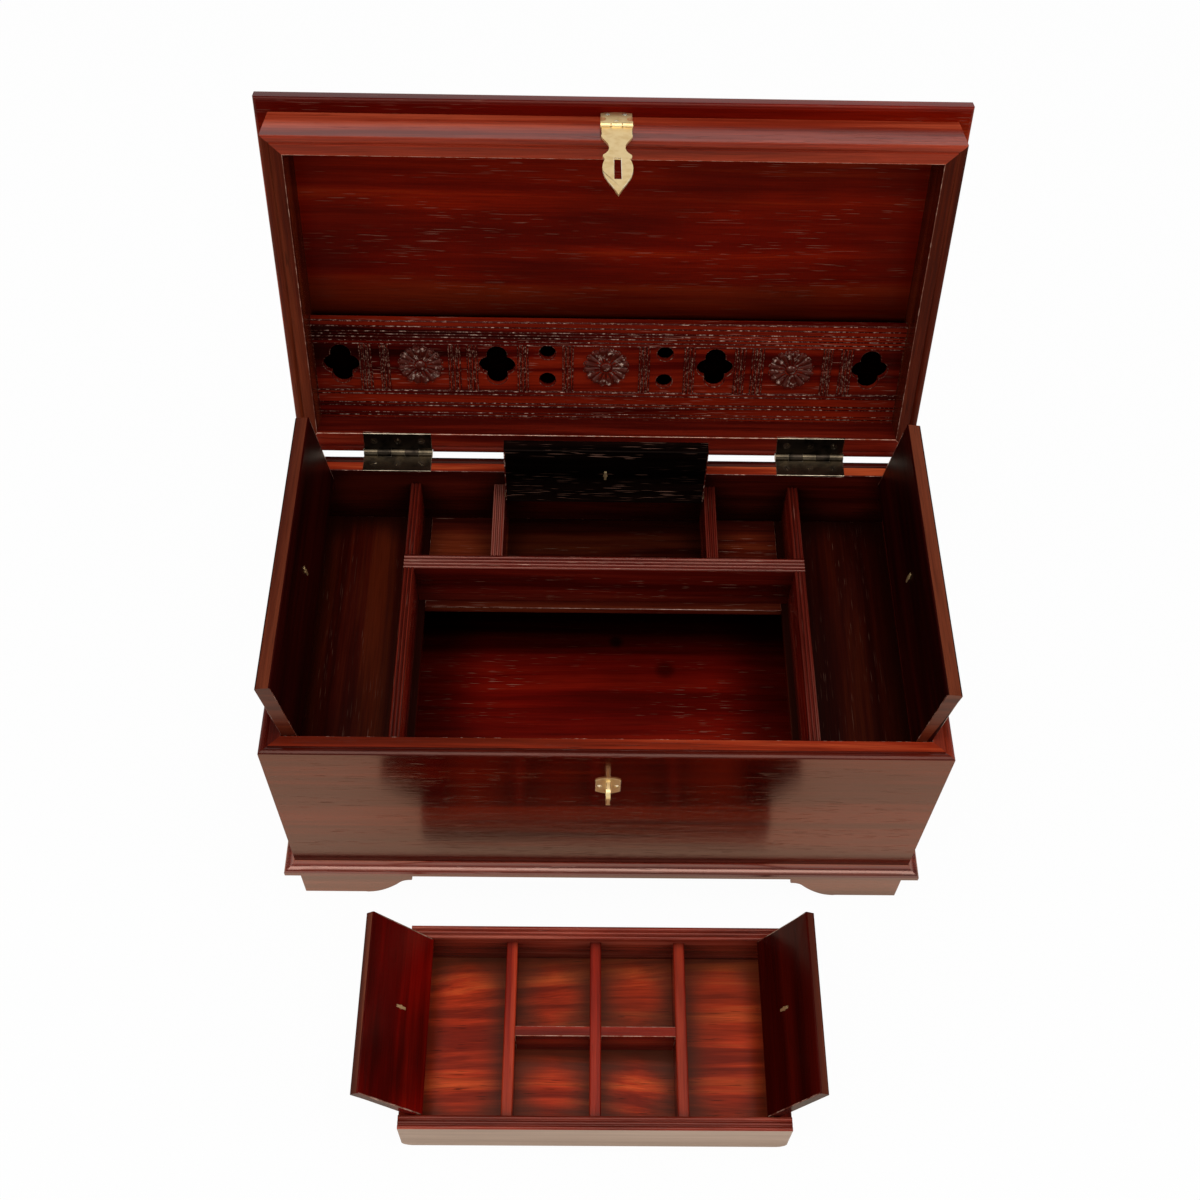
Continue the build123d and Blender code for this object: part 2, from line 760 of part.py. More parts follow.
holes = []
for side in (-1, 1):
    for spread in (-1, 1):
        middle = (
            rack_shift + side * round_hole_offset * rack_stretch,
            rack_y(carving_middle + spread * round_hole_spread),
            rack_front_level - rack_thickness,
        )
        holes.append(rod(middle, (0, 0, 1), round_hole_radius, through))
    for offset in quatrefoil_offsets:
        x = rack_shift + side * offset * rack_stretch
        lobes = (
            (quatrefoil_across, 0),
            (-quatrefoil_across, 0),
            (0, quatrefoil_up),
            (0, -quatrefoil_up),
        )
        for across, up in lobes:
            start = (x + across, rack_y(carving_middle + up), rack_front_level - rack_thickness)
            holes.append(rod(start, (0, 0, 1), quatrefoil_lobe, through))
letter_rack = without(letter_rack, holes)

# Hasp: a plate riveted to the front rail, with notched sides and a crowned top, and a slotted leaf on a pin

knuckle_out = hasp_knuckle_stand_off + hasp_knuckle_radius
knuckle_y = face_y - knuckle_out
knuckle_z = lid_gap + hasp_knuckle_height
hasp_half = hasp_width / 2
middle_half = hasp_middle_knuckle / 2
middle_clear = middle_half + hasp_knuckle_gap
round_clear = hasp_knuckle_radius + hasp_knuckle_stand_off
hasp_left = hasp_x - hasp_half
hasp_right = hasp_x + hasp_half
plate_top = rail_height - hasp_top_gap
crown_low = plate_top - hasp_crown
rail_face = Plane(origin=(hasp_x, face_y, lid_gap), x_dir=(1, 0, 0), z_dir=(0, -1, 0))
plate_outline = face_of(
    Polyline(
        (hasp_half, crown_low),
        (hasp_half, hasp_knuckle_height),
        (-hasp_half, hasp_knuckle_height),
        (-hasp_half, crown_low),
    ),
    ThreePointArc((-hasp_half, crown_low), (0, plate_top), (hasp_half, crown_low)),
)
hasp_plate = prism(plate_outline, rail_face, hasp_plate_thickness)
hasp_plate = hasp_plate - block(
    hasp_x - middle_clear,
    hasp_x + middle_clear,
    face_y - wall,
    face_y + wall,
    knuckle_z - wall,
    knuckle_z + round_clear,
)
for x in (hasp_left, hasp_right):
    notch_start = (x, face_y + wall, lid_gap + hasp_notch_height)
    hasp_plate = hasp_plate - rod(notch_start, (0, -1, 0), hasp_notch_radius, wall * 2)
outer_length = hasp_half - middle_clear
for start_x in (hasp_left, hasp_x + middle_clear):
    barrel_start = (start_x, knuckle_y, knuckle_z)
    hasp_plate = hasp_plate + rod(barrel_start, (1, 0, 0), hasp_knuckle_radius, outer_length)
pin_start = (hasp_left, knuckle_y, knuckle_z)
hasp_pin = rod(pin_start, (1, 0, 0), hasp_pin_radius, hasp_width)
loose_hasp_pin = rod(pin_start, (1, 0, 0), hasp_pin_radius + running_gap, hasp_width)
hasp_plate = hasp_plate - hasp_pin


upper_left_rivet = (-rivet_spread, upper_rivet_height)
upper_right_rivet = (rivet_spread, upper_rivet_height)
rivet_places = ((0, lower_rivet_height), upper_left_rivet, upper_right_rivet)
hasp_rivets = []
for across, up in rivet_places:
    head_base = (hasp_x + across, face_y - hasp_plate_thickness, lid_gap + up)
    hasp_rivets.append(round_head(head_base, (0, -1, 0), rivet_head_radius, rivet_head_height))
hasp_plate = without(hasp_plate, hasp_rivets)
lid_front_rail = without(lid_front_rail, hasp_rivets)



def leaf_side(side):
    def at(point):
        return (side * point[0], point[1])

    top = (hasp_shoulder[0], hasp_knuckle_height)
    return [
        Line(at(top), at(hasp_shoulder)),
        Spline(at(hasp_shoulder), *[at(point) for point in hasp_waist_points]),
        ThreePointArc(at(hasp_waist_points[-1]), at(hasp_ear_tip), at(hasp_ear_foot)),
        Spline(at(hasp_ear_foot), *[at(point) for point in hasp_spade_points], hasp_tip),
    ]


top_line = Line((-hasp_shoulder[0], hasp_knuckle_height), (hasp_shoulder[0], hasp_knuckle_height))
leaf_face = face_of(top_line, *leaf_side(1), *leaf_side(-1))
leaf_plane = Plane(origin=(hasp_x, face_y - hasp_leaf_back, lid_gap), x_dir=(1, 0, 0), z_dir=(0, -1, 0))
hasp_leaf = prism(leaf_face, leaf_plane, hasp_leaf_thickness)
for side in (-1, 1):
    low = hasp_x + side * (middle_half + hasp_half) / 2
    half = (hasp_half - middle_half) / 2 + hasp_knuckle_gap
    hasp_leaf = hasp_leaf - block(
        low - half, low + half, face_y - wall, face_y, knuckle_z - round_clear, knuckle_z + wall
    )
neck = block(
    hasp_x - middle_half,
    hasp_x + middle_half,
    face_y - hasp_leaf_back - hasp_leaf_thickness,
    face_y - hasp_leaf_back,
    lid_gap,
    knuckle_z,
)
middle_barrel = rod(
    (hasp_x - middle_half, knuckle_y, knuckle_z), (1, 0, 0), hasp_knuckle_radius, hasp_middle_knuckle
)
slot = block(
    hasp_x - hasp_slot_width / 2,
    hasp_x + hasp_slot_width / 2,
    face_y - wall,
    face_y,
    lid_gap + hasp_slot_bottom,
    lid_gap + hasp_slot_top,
)
hasp_leaf = together([hasp_leaf, neck, middle_barrel]) - loose_hasp_pin - slot

# Flaps of the case

side_plate = flap_plate(
    side_flap_length,
    side_flap_width,
    flap_thickness,
    flap_pin_radius,
    flap_pin_in_flap,
    side_pull_from_pivot,
    side_pull_y,
)
other_side_plate = flap_plate(
    side_flap_length,
    side_flap_width,
    flap_thickness,
    flap_pin_radius,
    flap_pin_in_flap,
    side_pull_from_pivot,
    -side_pull_y,
)
side_pull = flap_pull(flap_thickness, side_pull_from_pivot, side_pull_y)
other_side_pull = flap_pull(flap_thickness, side_pull_from_pivot, -side_pull_y)
left_flap = placed_flap(side_plate, left_pivot, 0, side_flap_open)
left_flap_pull = placed_flap(side_pull, left_pivot, 0, side_flap_open)
right_flap = placed_flap(other_side_plate, right_pivot, half_turn, side_flap_open)
right_flap_pull = placed_flap(other_side_pull, right_pivot, half_turn, side_flap_open)
centre_plate = flap_plate(
    centre_flap_length,
    centre_flap_width,
    flap_thickness,
    flap_pin_radius,
    flap_pin_in_flap,
    centre_pull_from_pivot,
    0,
)
centre_flap = placed_flap(centre_plate, centre_pivot, -quarter_turn, centre_flap_open)
centre_pull = flap_pull(flap_thickness, centre_pull_from_pivot, 0)
centre_flap_pull = placed_flap(centre_pull, centre_pivot, -quarter_turn, centre_flap_open)

# Tray

tray_left = tray_x - tray_width / 2
tray_right = tray_x + tray_width / 2
tray_front_y = tray_y - tray_depth / 2
tray_back_y = tray_y + tray_depth / 2
tray_inner_front = tray_front_y + tray_board
tray_inner_back = tray_back_y - tray_board
tray_top = ground + tray_height
board_section_reeded = reeded_section(tray_board, ground, tray_top, tray_reeds, reed_rise)
tray_pivot_z = ground + tray_flap_pivot_height
tray_pivot_out = tray_width / 2 - tray_end_board - tray_flap_from_end
tray_half_span = (tray_inner_back - tray_inner_front) / 2
tray_left_pivot = (tray_x - tray_pivot_out, tray_y, tray_pivot_z)
tray_right_pivot = (tray_x + tray_pivot_out, tray_y, tray_pivot_z)
tray_pins = []
for pivot in (tray_left_pivot, tray_right_pivot):
    tray_pins += pivot_pins(
        pivot, (0, 1), tray_half_span, tray_pin_in_board, tray_pin_in_flap, tray_flap_end_gap, tray_pin_radius
    )


def tray_long_board(y):
    board = bar_along_x(board_section_reeded, y, tray_left, tray_right)
    low_corners = board.edges().filter_by(Axis.Y).sort_by(Axis.Z)[:2]
    return without(fillet(low_corners, tray_corner_radius), tray_pins)


tray_front = tray_long_board(tray_front_y + tray_board / 2)
tray_back = tray_long_board(tray_back_y - tray_board / 2)


def end_board_top(lean):
    # Height at which the end board's inner corner stops the flap at this lean
    turn = math.radians(lean)
    reach = tray_flap_thickness / 2 + lean_gap
    return tray_pivot_z + (tray_flap_from_end * math.cos(turn) - reach) / math.sin(turn)


tray_left_end = block(
    tray_left,
    tray_left + tray_end_board,
    tray_inner_front,
    tray_inner_back,
    ground,
    end_board_top(tray_left_lean),
)
tray_right_end = block(
    tray_right - tray_end_board,
    tray_right,
    tray_inner_front,
    tray_inner_back,
    ground,
    end_board_top(tray_right_lean),
)
floor_left = tray_left + tray_end_board
floor_right = tray_right - tray_end_board
floor_top = ground + tray_floor_thickness
tray_floor = [
    block(floor_left, floor_right, tray_inner_front, tray_floor_joint, ground, floor_top),
    block(floor_left, floor_right, tray_floor_joint, tray_inner_back, ground, floor_top),
]
tray_divider_top = ground + tray_divider_height
tray_dividers = []
divider_places = [tray_x + number * tray_divider_spacing for number in (-1, 0, 1)]
half_divider = tray_divider_thickness / 2
for x in divider_places:
    divider = block(
        x - half_divider, x + half_divider, tray_inner_front, tray_inner_back, floor_top, tray_divider_top
    )
    top_edges = divider.edges().filter_by(Axis.Y).sort_by(Axis.Z)[-2:]
    tray_dividers.append(fillet(top_edges, edge_round))
tray_cross_dividers = []
half_cross = tray_cross_thickness / 2
for left_x, right_x in zip(divider_places, divider_places[1:]):
    tray_cross_dividers.append(
        block(
            left_x + half_divider,
            right_x - half_divider,
            tray_cross_y - half_cross,
            tray_cross_y + half_cross,
            floor_top,
            tray_divider_top - edge_round,
        )
    )

tray_flap_width = 2 * (tray_half_span - tray_flap_end_gap)
tray_flap_sizes = (tray_flap_length, tray_flap_width, tray_flap_thickness, tray_pin_radius, tray_pin_in_flap)
left_tray_plate = flap_plate(*tray_flap_sizes, tray_pull_from_pivot, tray_pull_y)
right_tray_plate = flap_plate(*tray_flap_sizes, tray_pull_from_pivot, -tray_pull_y)
left_tray_pull = flap_pull(tray_flap_thickness, tray_pull_from_pivot, tray_pull_y)
right_tray_pull = flap_pull(tray_flap_thickness, tray_pull_from_pivot, -tray_pull_y)
tray_left_open = quarter_turn + tray_left_lean
tray_right_open = quarter_turn + tray_right_lean
tray_left_flap = placed_flap(left_tray_plate, tray_left_pivot, 0, tray_left_open)
tray_left_flap_pull = placed_flap(left_tray_pull, tray_left_pivot, 0, tray_left_open)
tray_right_flap = placed_flap(right_tray_plate, tray_right_pivot, half_turn, tray_right_open)
tray_right_flap_pull = placed_flap(right_tray_pull, tray_right_pivot, half_turn, tray_right_open)

# Open the lid, then write every piece in its final place

hinge_line = Axis((0, hinge_y, hinge_z), (1, 0, 0))


def opened(shapes):
    return [shape.rotate(hinge_line, -lid_open) for shape in shapes]


fixed_pieces = {
    "case_front": [case_front],
    "case_back": [case_back],
    "case_left_side": [case_left_side],
    "case_right_side": [case_right_side],
    "case_bottom": [case_bottom],
    "base_moulding": base_moulding,
    "front_left_foot": [front_left_foot],
    "front_right_foot": [front_right_foot],
    "back_left_foot": [back_left_foot],
    "back_right_foot": [back_right_foot],
    "left_compartment_floor": [left_compartment_floor],
    "right_compartment_floor": [right_compartment_floor],
    "till_floor": [till_floor],
    "left_long_divider": [long_dividers[0]],
    "right_long_divider": [long_dividers[1]],
    "cross_divider": [cross_divider],
    "left_short_divider": [short_dividers[0]],
    "right_short_divider": [short_dividers[1]],
    "side_flap_pins": side_pins,
    "centre_flap_pins": centre_pins,
    "left_hinge_case_leaf": [case_leaves[0]],
    "right_hinge_case_leaf": [case_leaves[1]],
    "lid_hinge_pins": hinge_pins,
    "case_hinge_screws": case_screws,
    "staple_plate": [staple_plate],
    "staple_loop": [staple_loop],
    "staple_screws": staple_screws,
    "left_flap": [left_flap],
    "left_flap_pull": [left_flap_pull],
    "right_flap": [right_flap],
    "right_flap_pull": [right_flap_pull],
    "centre_flap": [centre_flap],
    "centre_flap_pull": [centre_flap_pull],
    "tray_front": [tray_front],
    "tray_back": [tray_back],
    "tray_left_end": [tray_left_end],
    "tray_right_end": [tray_right_end],
    "tray_floor": tray_floor,
    "tray_dividers": tray_dividers,
    "tray_cross_dividers": tray_cross_dividers,
    "tray_flap_pins": tray_pins,
    "tray_left_flap": [tray_left_flap],
    "tray_left_flap_pull": [tray_left_flap_pull],
    "tray_right_flap": [tray_right_flap],
    "tray_right_flap_pull": [tray_right_flap_pull],
}
lid_pieces = {
    "lid_front_rail": [lid_front_rail],
    "lid_back_rail": [lid_back_rail],
    "lid_left_rail": [lid_left_rail],
    "lid_right_rail": [lid_right_rail],
    "lid_top_board": [lid_top_board],
    "letter_rack": [letter_rack],
    "left_hinge_lid_leaf": [lid_leaves[0]],
    "right_hinge_lid_leaf": [lid_leaves[1]],
    "lid_hinge_screws": lid_screws,
    "hasp_plate": [hasp_plate],
    "hasp_pin": [hasp_pin],
    "hasp_rivets": hasp_rivets,
    "hasp_leaf": [hasp_leaf],
}

pieces = dict(fixed_pieces)
for name, shapes in lid_pieces.items():
    pieces[name] = opened(shapes)

everything = Compound(children=[shape.solid() for shapes in pieces.values() for shape in shapes])
reach_box = everything.bounding_box()
middle_x = (reach_box.min.X + reach_box.max.X) / 2
middle_y = (reach_box.min.Y + reach_box.max.Y) / 2
final_place = Location((-middle_x, -middle_y, -ground))

for name, shapes in pieces.items():
    solids = [shape.solid().moved(final_place) for shape in shapes]
    node = solids[0] if len(solids) == 1 else Compound(children=solids)
    export_step(node, f"parts/{name}.step")
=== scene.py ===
import math

import bmesh
import bpy
from mathutils import Matrix, Vector


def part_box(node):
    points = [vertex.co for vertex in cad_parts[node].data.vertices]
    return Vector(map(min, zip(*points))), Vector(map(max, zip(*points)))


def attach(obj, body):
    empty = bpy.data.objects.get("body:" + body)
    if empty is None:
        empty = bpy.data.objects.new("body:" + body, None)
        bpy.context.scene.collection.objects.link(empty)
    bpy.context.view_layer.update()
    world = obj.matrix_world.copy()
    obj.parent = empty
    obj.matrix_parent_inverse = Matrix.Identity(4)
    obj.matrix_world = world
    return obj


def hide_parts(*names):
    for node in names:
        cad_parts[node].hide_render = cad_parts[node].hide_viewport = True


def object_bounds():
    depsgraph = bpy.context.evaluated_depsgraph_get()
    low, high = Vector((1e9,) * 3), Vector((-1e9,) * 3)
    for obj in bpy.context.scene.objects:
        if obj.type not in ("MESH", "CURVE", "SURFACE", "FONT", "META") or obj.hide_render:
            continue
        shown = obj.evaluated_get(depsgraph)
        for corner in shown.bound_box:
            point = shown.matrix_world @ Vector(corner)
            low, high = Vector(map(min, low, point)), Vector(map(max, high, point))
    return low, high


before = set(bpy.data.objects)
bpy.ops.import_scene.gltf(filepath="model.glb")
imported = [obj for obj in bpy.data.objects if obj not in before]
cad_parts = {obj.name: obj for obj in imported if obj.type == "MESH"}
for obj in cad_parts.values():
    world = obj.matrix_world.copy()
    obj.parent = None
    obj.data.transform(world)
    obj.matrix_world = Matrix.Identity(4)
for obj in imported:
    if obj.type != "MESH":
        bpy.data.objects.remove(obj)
model_box = [list(corner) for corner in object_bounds()]
model_box = [[round(number, 5) for number in corner] for corner in model_box]


# ---- Case walls ----
# Four hardwood boards, mitred and glued at the corners, with a small step and bead run along the rim.
# The boards were planed, their arrises eased with paper, stained red-brown and lacquered to a gloss.

QUARTER_TURN = math.radians(90)
LID_LEAN = math.radians(14.3)
GRAIN_TURNS = {
    "x": (0.0, 0.0, 0.0),
    "y": (0.0, 0.0, -QUARTER_TURN),
    "lid_x": (LID_LEAN, 0.0, 0.0),
    "lid_up": (LID_LEAN, QUARTER_TURN, 0.0),
}


def add_node(tree, kind, place, **settings):
    node = tree.nodes.new(kind)
    node.location = place
    for name, value in settings.items():
        setattr(node, name, value)
    return node


def feed(tree, socket, value):
    """Give a socket another node's output, a red, green and blue colour, or a number."""
    if isinstance(value, bpy.types.NodeSocket):
        tree.links.new(value, socket)
    elif isinstance(value, tuple):
        socket.default_value = (*value, 1.0)
    else:
        socket.default_value = value


def reckon(tree, operation, place, *values):
    """One step of arithmetic on up to three values, each a number or a node's output."""
    maths = add_node(tree, "ShaderNodeMath", place, operation=operation)
    for socket, value in zip(maths.inputs, values):
        feed(tree, socket, value)
    return maths.outputs[0]


def between(tree, value, start, full, place):
    """A mask that is 0 where the value is at start and rises smoothly to 1 where it is at full."""
    spread = add_node(tree, "ShaderNodeMapRange", place, interpolation_type="SMOOTHSTEP")
    feed(tree, spread.inputs["Value"], value)
    feed(tree, spread.inputs["From Min"], start)
    feed(tree, spread.inputs["From Max"], full)
    return spread.outputs["Result"]


def noise(tree, vector, scale, detail, roughness, place):
    texture = add_node(tree, "ShaderNodeTexNoise", place)
    feed(tree, texture.inputs["Vector"], vector)
    feed(tree, texture.inputs["Scale"], scale)
    feed(tree, texture.inputs["Detail"], detail)
    feed(tree, texture.inputs["Roughness"], roughness)
    return texture.outputs["Fac"]


def marks(tree, vector, per_metre, detail, roughness, place, scale=1.0):
    """Noise drawn out into marks, so many of them to a metre along X, Y and Z."""
    drawn_out = add_node(tree, "ShaderNodeVectorMath", (place[0] - 200, place[1]), operation="MULTIPLY")
    drawn_out.inputs[1].default_value = per_metre
    feed(tree, drawn_out.inputs[0], vector)
    return noise(tree, drawn_out.outputs[0], scale, detail, roughness, place)


def ramp(tree, value, stops, place):
    """The colours or greys that a value runs through, each at its own position."""
    shading = add_node(tree, "ShaderNodeValToRGB", place)
    elements = shading.color_ramp.elements
    while len(elements) < len(stops):
        elements.new(0.5)
    for element, (position, shade) in zip(elements, stops):
        element.position = position
        element.color = (*shade, 1.0) if isinstance(shade, tuple) else (shade, shade, shade, 1.0)
    feed(tree, shading.inputs[0], value)
    return shading.outputs[0]


def laid_over(tree, under, over, share, place, blend_type="MIX"):
    """One colour laid over another by a share from 0 to 1. Each is a plain value or a node's output."""
    layer = add_node(tree, "ShaderNodeMix", place, data_type="RGBA", blend_type=blend_type)
    feed(tree, layer.inputs["A"], under)
    feed(tree, layer.inputs["B"], over)
    feed(tree, layer.inputs["Factor"], share)
    return layer.outputs["Result"]


def raise_surface(tree, surface, height, strength, distance, place):
    bump = add_node(tree, "ShaderNodeBump", place)
    feed(tree, bump.inputs["Strength"], strength)
    feed(tree, bump.inputs["Distance"], distance)
    feed(tree, bump.inputs["Height"], height)
    feed(tree, surface.inputs["Normal"], bump.outputs[0])


def new_finish(name):
    finish = bpy.data.materials.new(name)
    finish.use_nodes = True
    return finish, finish.node_tree, finish.node_tree.nodes["Principled BSDF"]


def new_group(name, inputs, outputs):
    group = bpy.data.node_groups.new(name, "ShaderNodeTree")
    for socket_name, socket_kind, default in inputs:
        socket = group.interface.new_socket(name=socket_name, in_out="INPUT", socket_type=socket_kind)
        if default is not None:
            socket.default_value = default
    for socket_name in outputs:
        group.interface.new_socket(name=socket_name, in_out="OUTPUT", socket_type="NodeSocketFloat")
    entry = add_node(group, "NodeGroupInput", (-2200, 0))
    leave = add_node(group, "NodeGroupOutput", (300, 0))
    return group, entry.outputs, leave.inputs


# The grain runs along X of its Vector. It has a growth figure that wanders from side to side, dark streaks,
# fine fibre, short open pores, clouds of stain, and painted shade in corners and where boards meet.
BROAD_FIGURE = 0.58
FIBRE_RELIEF = 0.35
CORNER_SHADE_REACH = 0.028
grain, grain_in, grain_out = new_group(
    "timber_grain",
    (
        ("Vector", "NodeSocketVector", None),
        ("Waviness", "NodeSocketFloat", 0.012),
        ("Figure Scale", "NodeSocketFloat", 1.0),
    ),
    ("Figure", "Streaks", "Fibre", "Pores", "Height", "Smoke", "Corner Shade"),
)
wander = marks(grain, grain_in["Vector"], (3.0, 11.0, 11.0), detail=2.0, roughness=0.5, place=(-1620, 300))
centred = reckon(grain, "SUBTRACT", (-1440, 300), wander, 0.5)
swing = reckon(grain, "MULTIPLY", (-1280, 300), centred, grain_in["Waviness"])
sideways = add_node(grain, "ShaderNodeCombineXYZ", (-1120, 300))
feed(grain, sideways.inputs["Y"], swing)
feed(grain, sideways.inputs["Z"], swing)
warped = add_node(grain, "ShaderNodeVectorMath", (-960, 300), operation="ADD")
feed(grain, warped.inputs[0], grain_in["Vector"])
feed(grain, warped.inputs[1], sideways.outputs[0])
flow = warped.outputs[0]

figure_scale = grain_in["Figure Scale"]
broad = marks(
    grain, flow, (1.6, 30.0, 30.0), detail=3.0, roughness=0.55, place=(-560, 400), scale=figure_scale
)
narrow = marks(
    grain, flow, (4.0, 120.0, 120.0), detail=4.0, roughness=0.65, place=(-560, 200), scale=figure_scale
)
broad_part = reckon(grain, "MULTIPLY", (-380, 400), broad, BROAD_FIGURE)
narrow_part = reckon(grain, "MULTIPLY", (-380, 200), narrow, 1.0 - BROAD_FIGURE)
figure = reckon(grain, "ADD", (-220, 300), broad_part, narrow_part)
feed(grain, grain_out["Figure"], between(grain, figure, start=0.34, full=0.66, place=(-60, 300)))

streak = marks(grain, flow, (3.5, 260.0, 260.0), detail=3.0, roughness=0.6, place=(-560, 0))
feed(grain, grain_out["Streaks"], between(grain, streak, start=0.5, full=0.72, place=(-380, 0)))

fibre = marks(grain, flow, (30.0, 1100.0, 1100.0), detail=2.0, roughness=0.6, place=(-560, -200))
feed(grain, grain_out["Fibre"], fibre)

dash = marks(grain, grain_in["Vector"], (60.0, 1500.0, 1500.0), detail=0.0, roughness=0.4, place=(-560, -400))
drift = marks(grain, flow, (6.0, 60.0, 60.0), detail=2.0, roughness=0.5, place=(-560, -600))
dashes = between(grain, dash, start=0.70, full=0.80, place=(-380, -400))
drifts = between(grain, drift, start=0.44, full=0.62, place=(-380, -600))
open_pores = reckon(grain, "MULTIPLY", (-200, -500), dashes, drifts)
feed(grain, grain_out["Pores"], open_pores)

raised_fibre = reckon(grain, "MULTIPLY", (-380, -200), fibre, FIBRE_RELIEF)
feed(grain, grain_out["Height"], reckon(grain, "SUBTRACT", (-60, -300), raised_fibre, open_pores))

cloud = marks(grain, flow, (5.0, 14.0, 14.0), detail=3.0, roughness=0.55, place=(-560, -900))
feed(grain, grain_out["Smoke"], between(grain, cloud, start=0.42, full=0.66, place=(-380, -900)))

# Painted shade: a mask, from ambient occlusion, that darkens the wood where other surfaces close round it.
closed_in = add_node(grain, "ShaderNodeAmbientOcclusion", (-560, -1150), samples=8)
feed(grain, closed_in.inputs["Distance"], CORNER_SHADE_REACH)
corner_shade_mask = between(grain, closed_in.outputs["AO"], start=0.95, full=0.5, place=(-380, -1150))
feed(grain, grain_out["Corner Shade"], corner_shade_mask)

CLEAR_TINT = (1.0, 0.62, 0.50)
# One dark colour serves both the stain clouds and the painted shade in corners.
DARK_STAIN_AND_SHADE = (0.010, 0.0014, 0.0008)
FIBRE_SHADING = ((0.3, 0.5), (0.62, 1.0))
FIBRE_SHARE = 0.5
STREAK_DULLNESS = 0.06
PORE_DEPTH = 0.0002


def timber(
    name,
    along,
    shades,
    pore_shade,
    pores,
    shine=0.25,
    roughness=0.2,
    offset=(0, 0, 0),
    waviness=0.012,
    scale=1.0,
    tint=CLEAR_TINT,
    lacquer_ior=1.4,
    streaks=0.4,
    smoke=0.0,
    corners=0.0,
    stain_and_shade_colour=DARK_STAIN_AND_SHADE,
    relief=0.3,
):
    """Stained and lacquered wood, with its grain along one of the GRAIN_TURNS.

    shades are the figure's dark, middle and light colours, and scale is how close the figure lies. pores,
    streaks, smoke and corners are shares from 0 to 1: smoke is dark stain in clouds, and corners is painted
    shade that darkens the wood in corners and near other parts. Both are laid on in one dark colour.
    offset takes the board from another part of the tree, so that boards don't match.
    """
    dark, middle, light = shades
    wood, tree, surface = new_finish(name)
    feed(tree, surface.inputs["IOR"], lacquer_ior)
    feed(tree, surface.inputs["Specular IOR Level"], shine)
    feed(tree, surface.inputs["Specular Tint"], tint)

    place = add_node(tree, "ShaderNodeTexCoord", (-1500, 0))
    turned = add_node(tree, "ShaderNodeMapping", (-1300, 0))
    turned.inputs["Rotation"].default_value = GRAIN_TURNS[along]
    turned.inputs["Location"].default_value = offset
    feed(tree, turned.inputs["Vector"], place.outputs["Object"])
    board = add_node(tree, "ShaderNodeGroup", (-1100, 0), node_tree=grain)
    feed(tree, board.inputs["Vector"], turned.outputs[0])
    feed(tree, board.inputs["Waviness"], waviness)
    feed(tree, board.inputs["Figure Scale"], scale)

    stain = ramp(tree, board.outputs["Figure"], ((0.1, dark), (0.5, middle), (0.9, light)), (-850, 200))
    streaked = reckon(tree, "MULTIPLY", (-760, -60), board.outputs["Streaks"], streaks)
    colour = laid_over(tree, stain, dark, streaked, (-550, 200))
    fibre_shade = ramp(tree, board.outputs["Fibre"], FIBRE_SHADING, (-620, -200))
    colour = laid_over(tree, colour, fibre_shade, FIBRE_SHARE, (-350, 200), blend_type="MULTIPLY")
    # The smoke layer is stain; the corner layer is painted shade.
    layers = (("Pores", pore_shade, pores), ("Smoke", stain_and_shade_colour, smoke), ("Corner Shade", stain_and_shade_colour, corners))
    for number, (mask_name, shade, amount) in enumerate(layers):
        if amount > 0:
            share = reckon(tree, "MULTIPLY", (200 * number - 350, 0), board.outputs[mask_name], amount)
            colour = laid_over(tree, colour, shade, share, (200 * number - 150, 200))
    feed(tree, surface.inputs["Base Color"], colour)

    streaks_out = board.outputs["Streaks"]
    dullness = reckon(tree, "MULTIPLY_ADD", (-350, -300), streaks_out, STREAK_DULLNESS, roughness)
    feed(tree, surface.inputs["Roughness"], dullness)
    raise_surface(tree, surface, board.outputs["Height"], relief, PORE_DEPTH, (-150, -300))
    return wood


COAT_ROUGHNESS = 0.12
BREAK_SOFTNESS = 0.12
PLAIN_ROUGHNESS = 0.1
HIGHLIGHT_DULLNESS = 0.2


# Painted highlight: pale colour laid along arrises and carving in broken lengths, standing for glints.
def highlighted_lacquer(name, plain_shade, highlight_and_wear, broken=0.5, shine=1.0, fineness=130.0, coat=0.6):
    """Lacquer under a glossy coat, with a pale painted highlight along an arris in broken lengths.

    sound and worn are its two colours: worn is the pale painted highlight. The higher broken is, the less
    is highlighted, and fineness is how close together the highlighted lengths lie.
    """
    finish, tree, surface = new_finish(name)
    feed(tree, surface.inputs["Specular IOR Level"], shine)
    feed(tree, surface.inputs["Specular Tint"], CLEAR_TINT)
    feed(tree, surface.inputs["Coat Weight"], coat)
    feed(tree, surface.inputs["Coat Roughness"], COAT_ROUGHNESS)
    place = add_node(tree, "ShaderNodeTexCoord", (-1100, 0))
    lengths = noise(tree, place.outputs["Object"], fineness, detail=3.0, roughness=0.65, place=(-800, 0))
    share = between(tree, lengths, broken - BREAK_SOFTNESS, broken + BREAK_SOFTNESS, (-550, 0))
    feed(tree, surface.inputs["Base Color"], laid_over(tree, plain_shade, highlight_and_wear, share, (-300, 100)))
    dullness = reckon(tree, "MULTIPLY_ADD", (-300, -200), lengths, HIGHLIGHT_DULLNESS, PLAIN_ROUGHNESS)
    feed(tree, surface.inputs["Roughness"], dullness)
    return finish


def put_in_scene(name, data):
    thing = bpy.data.objects.new(name, data)
    bpy.context.scene.collection.objects.link(thing)
    return thing


def finish_with(piece, *materials):
    piece.data.materials.clear()
    for material in materials:
        piece.data.materials.append(material)


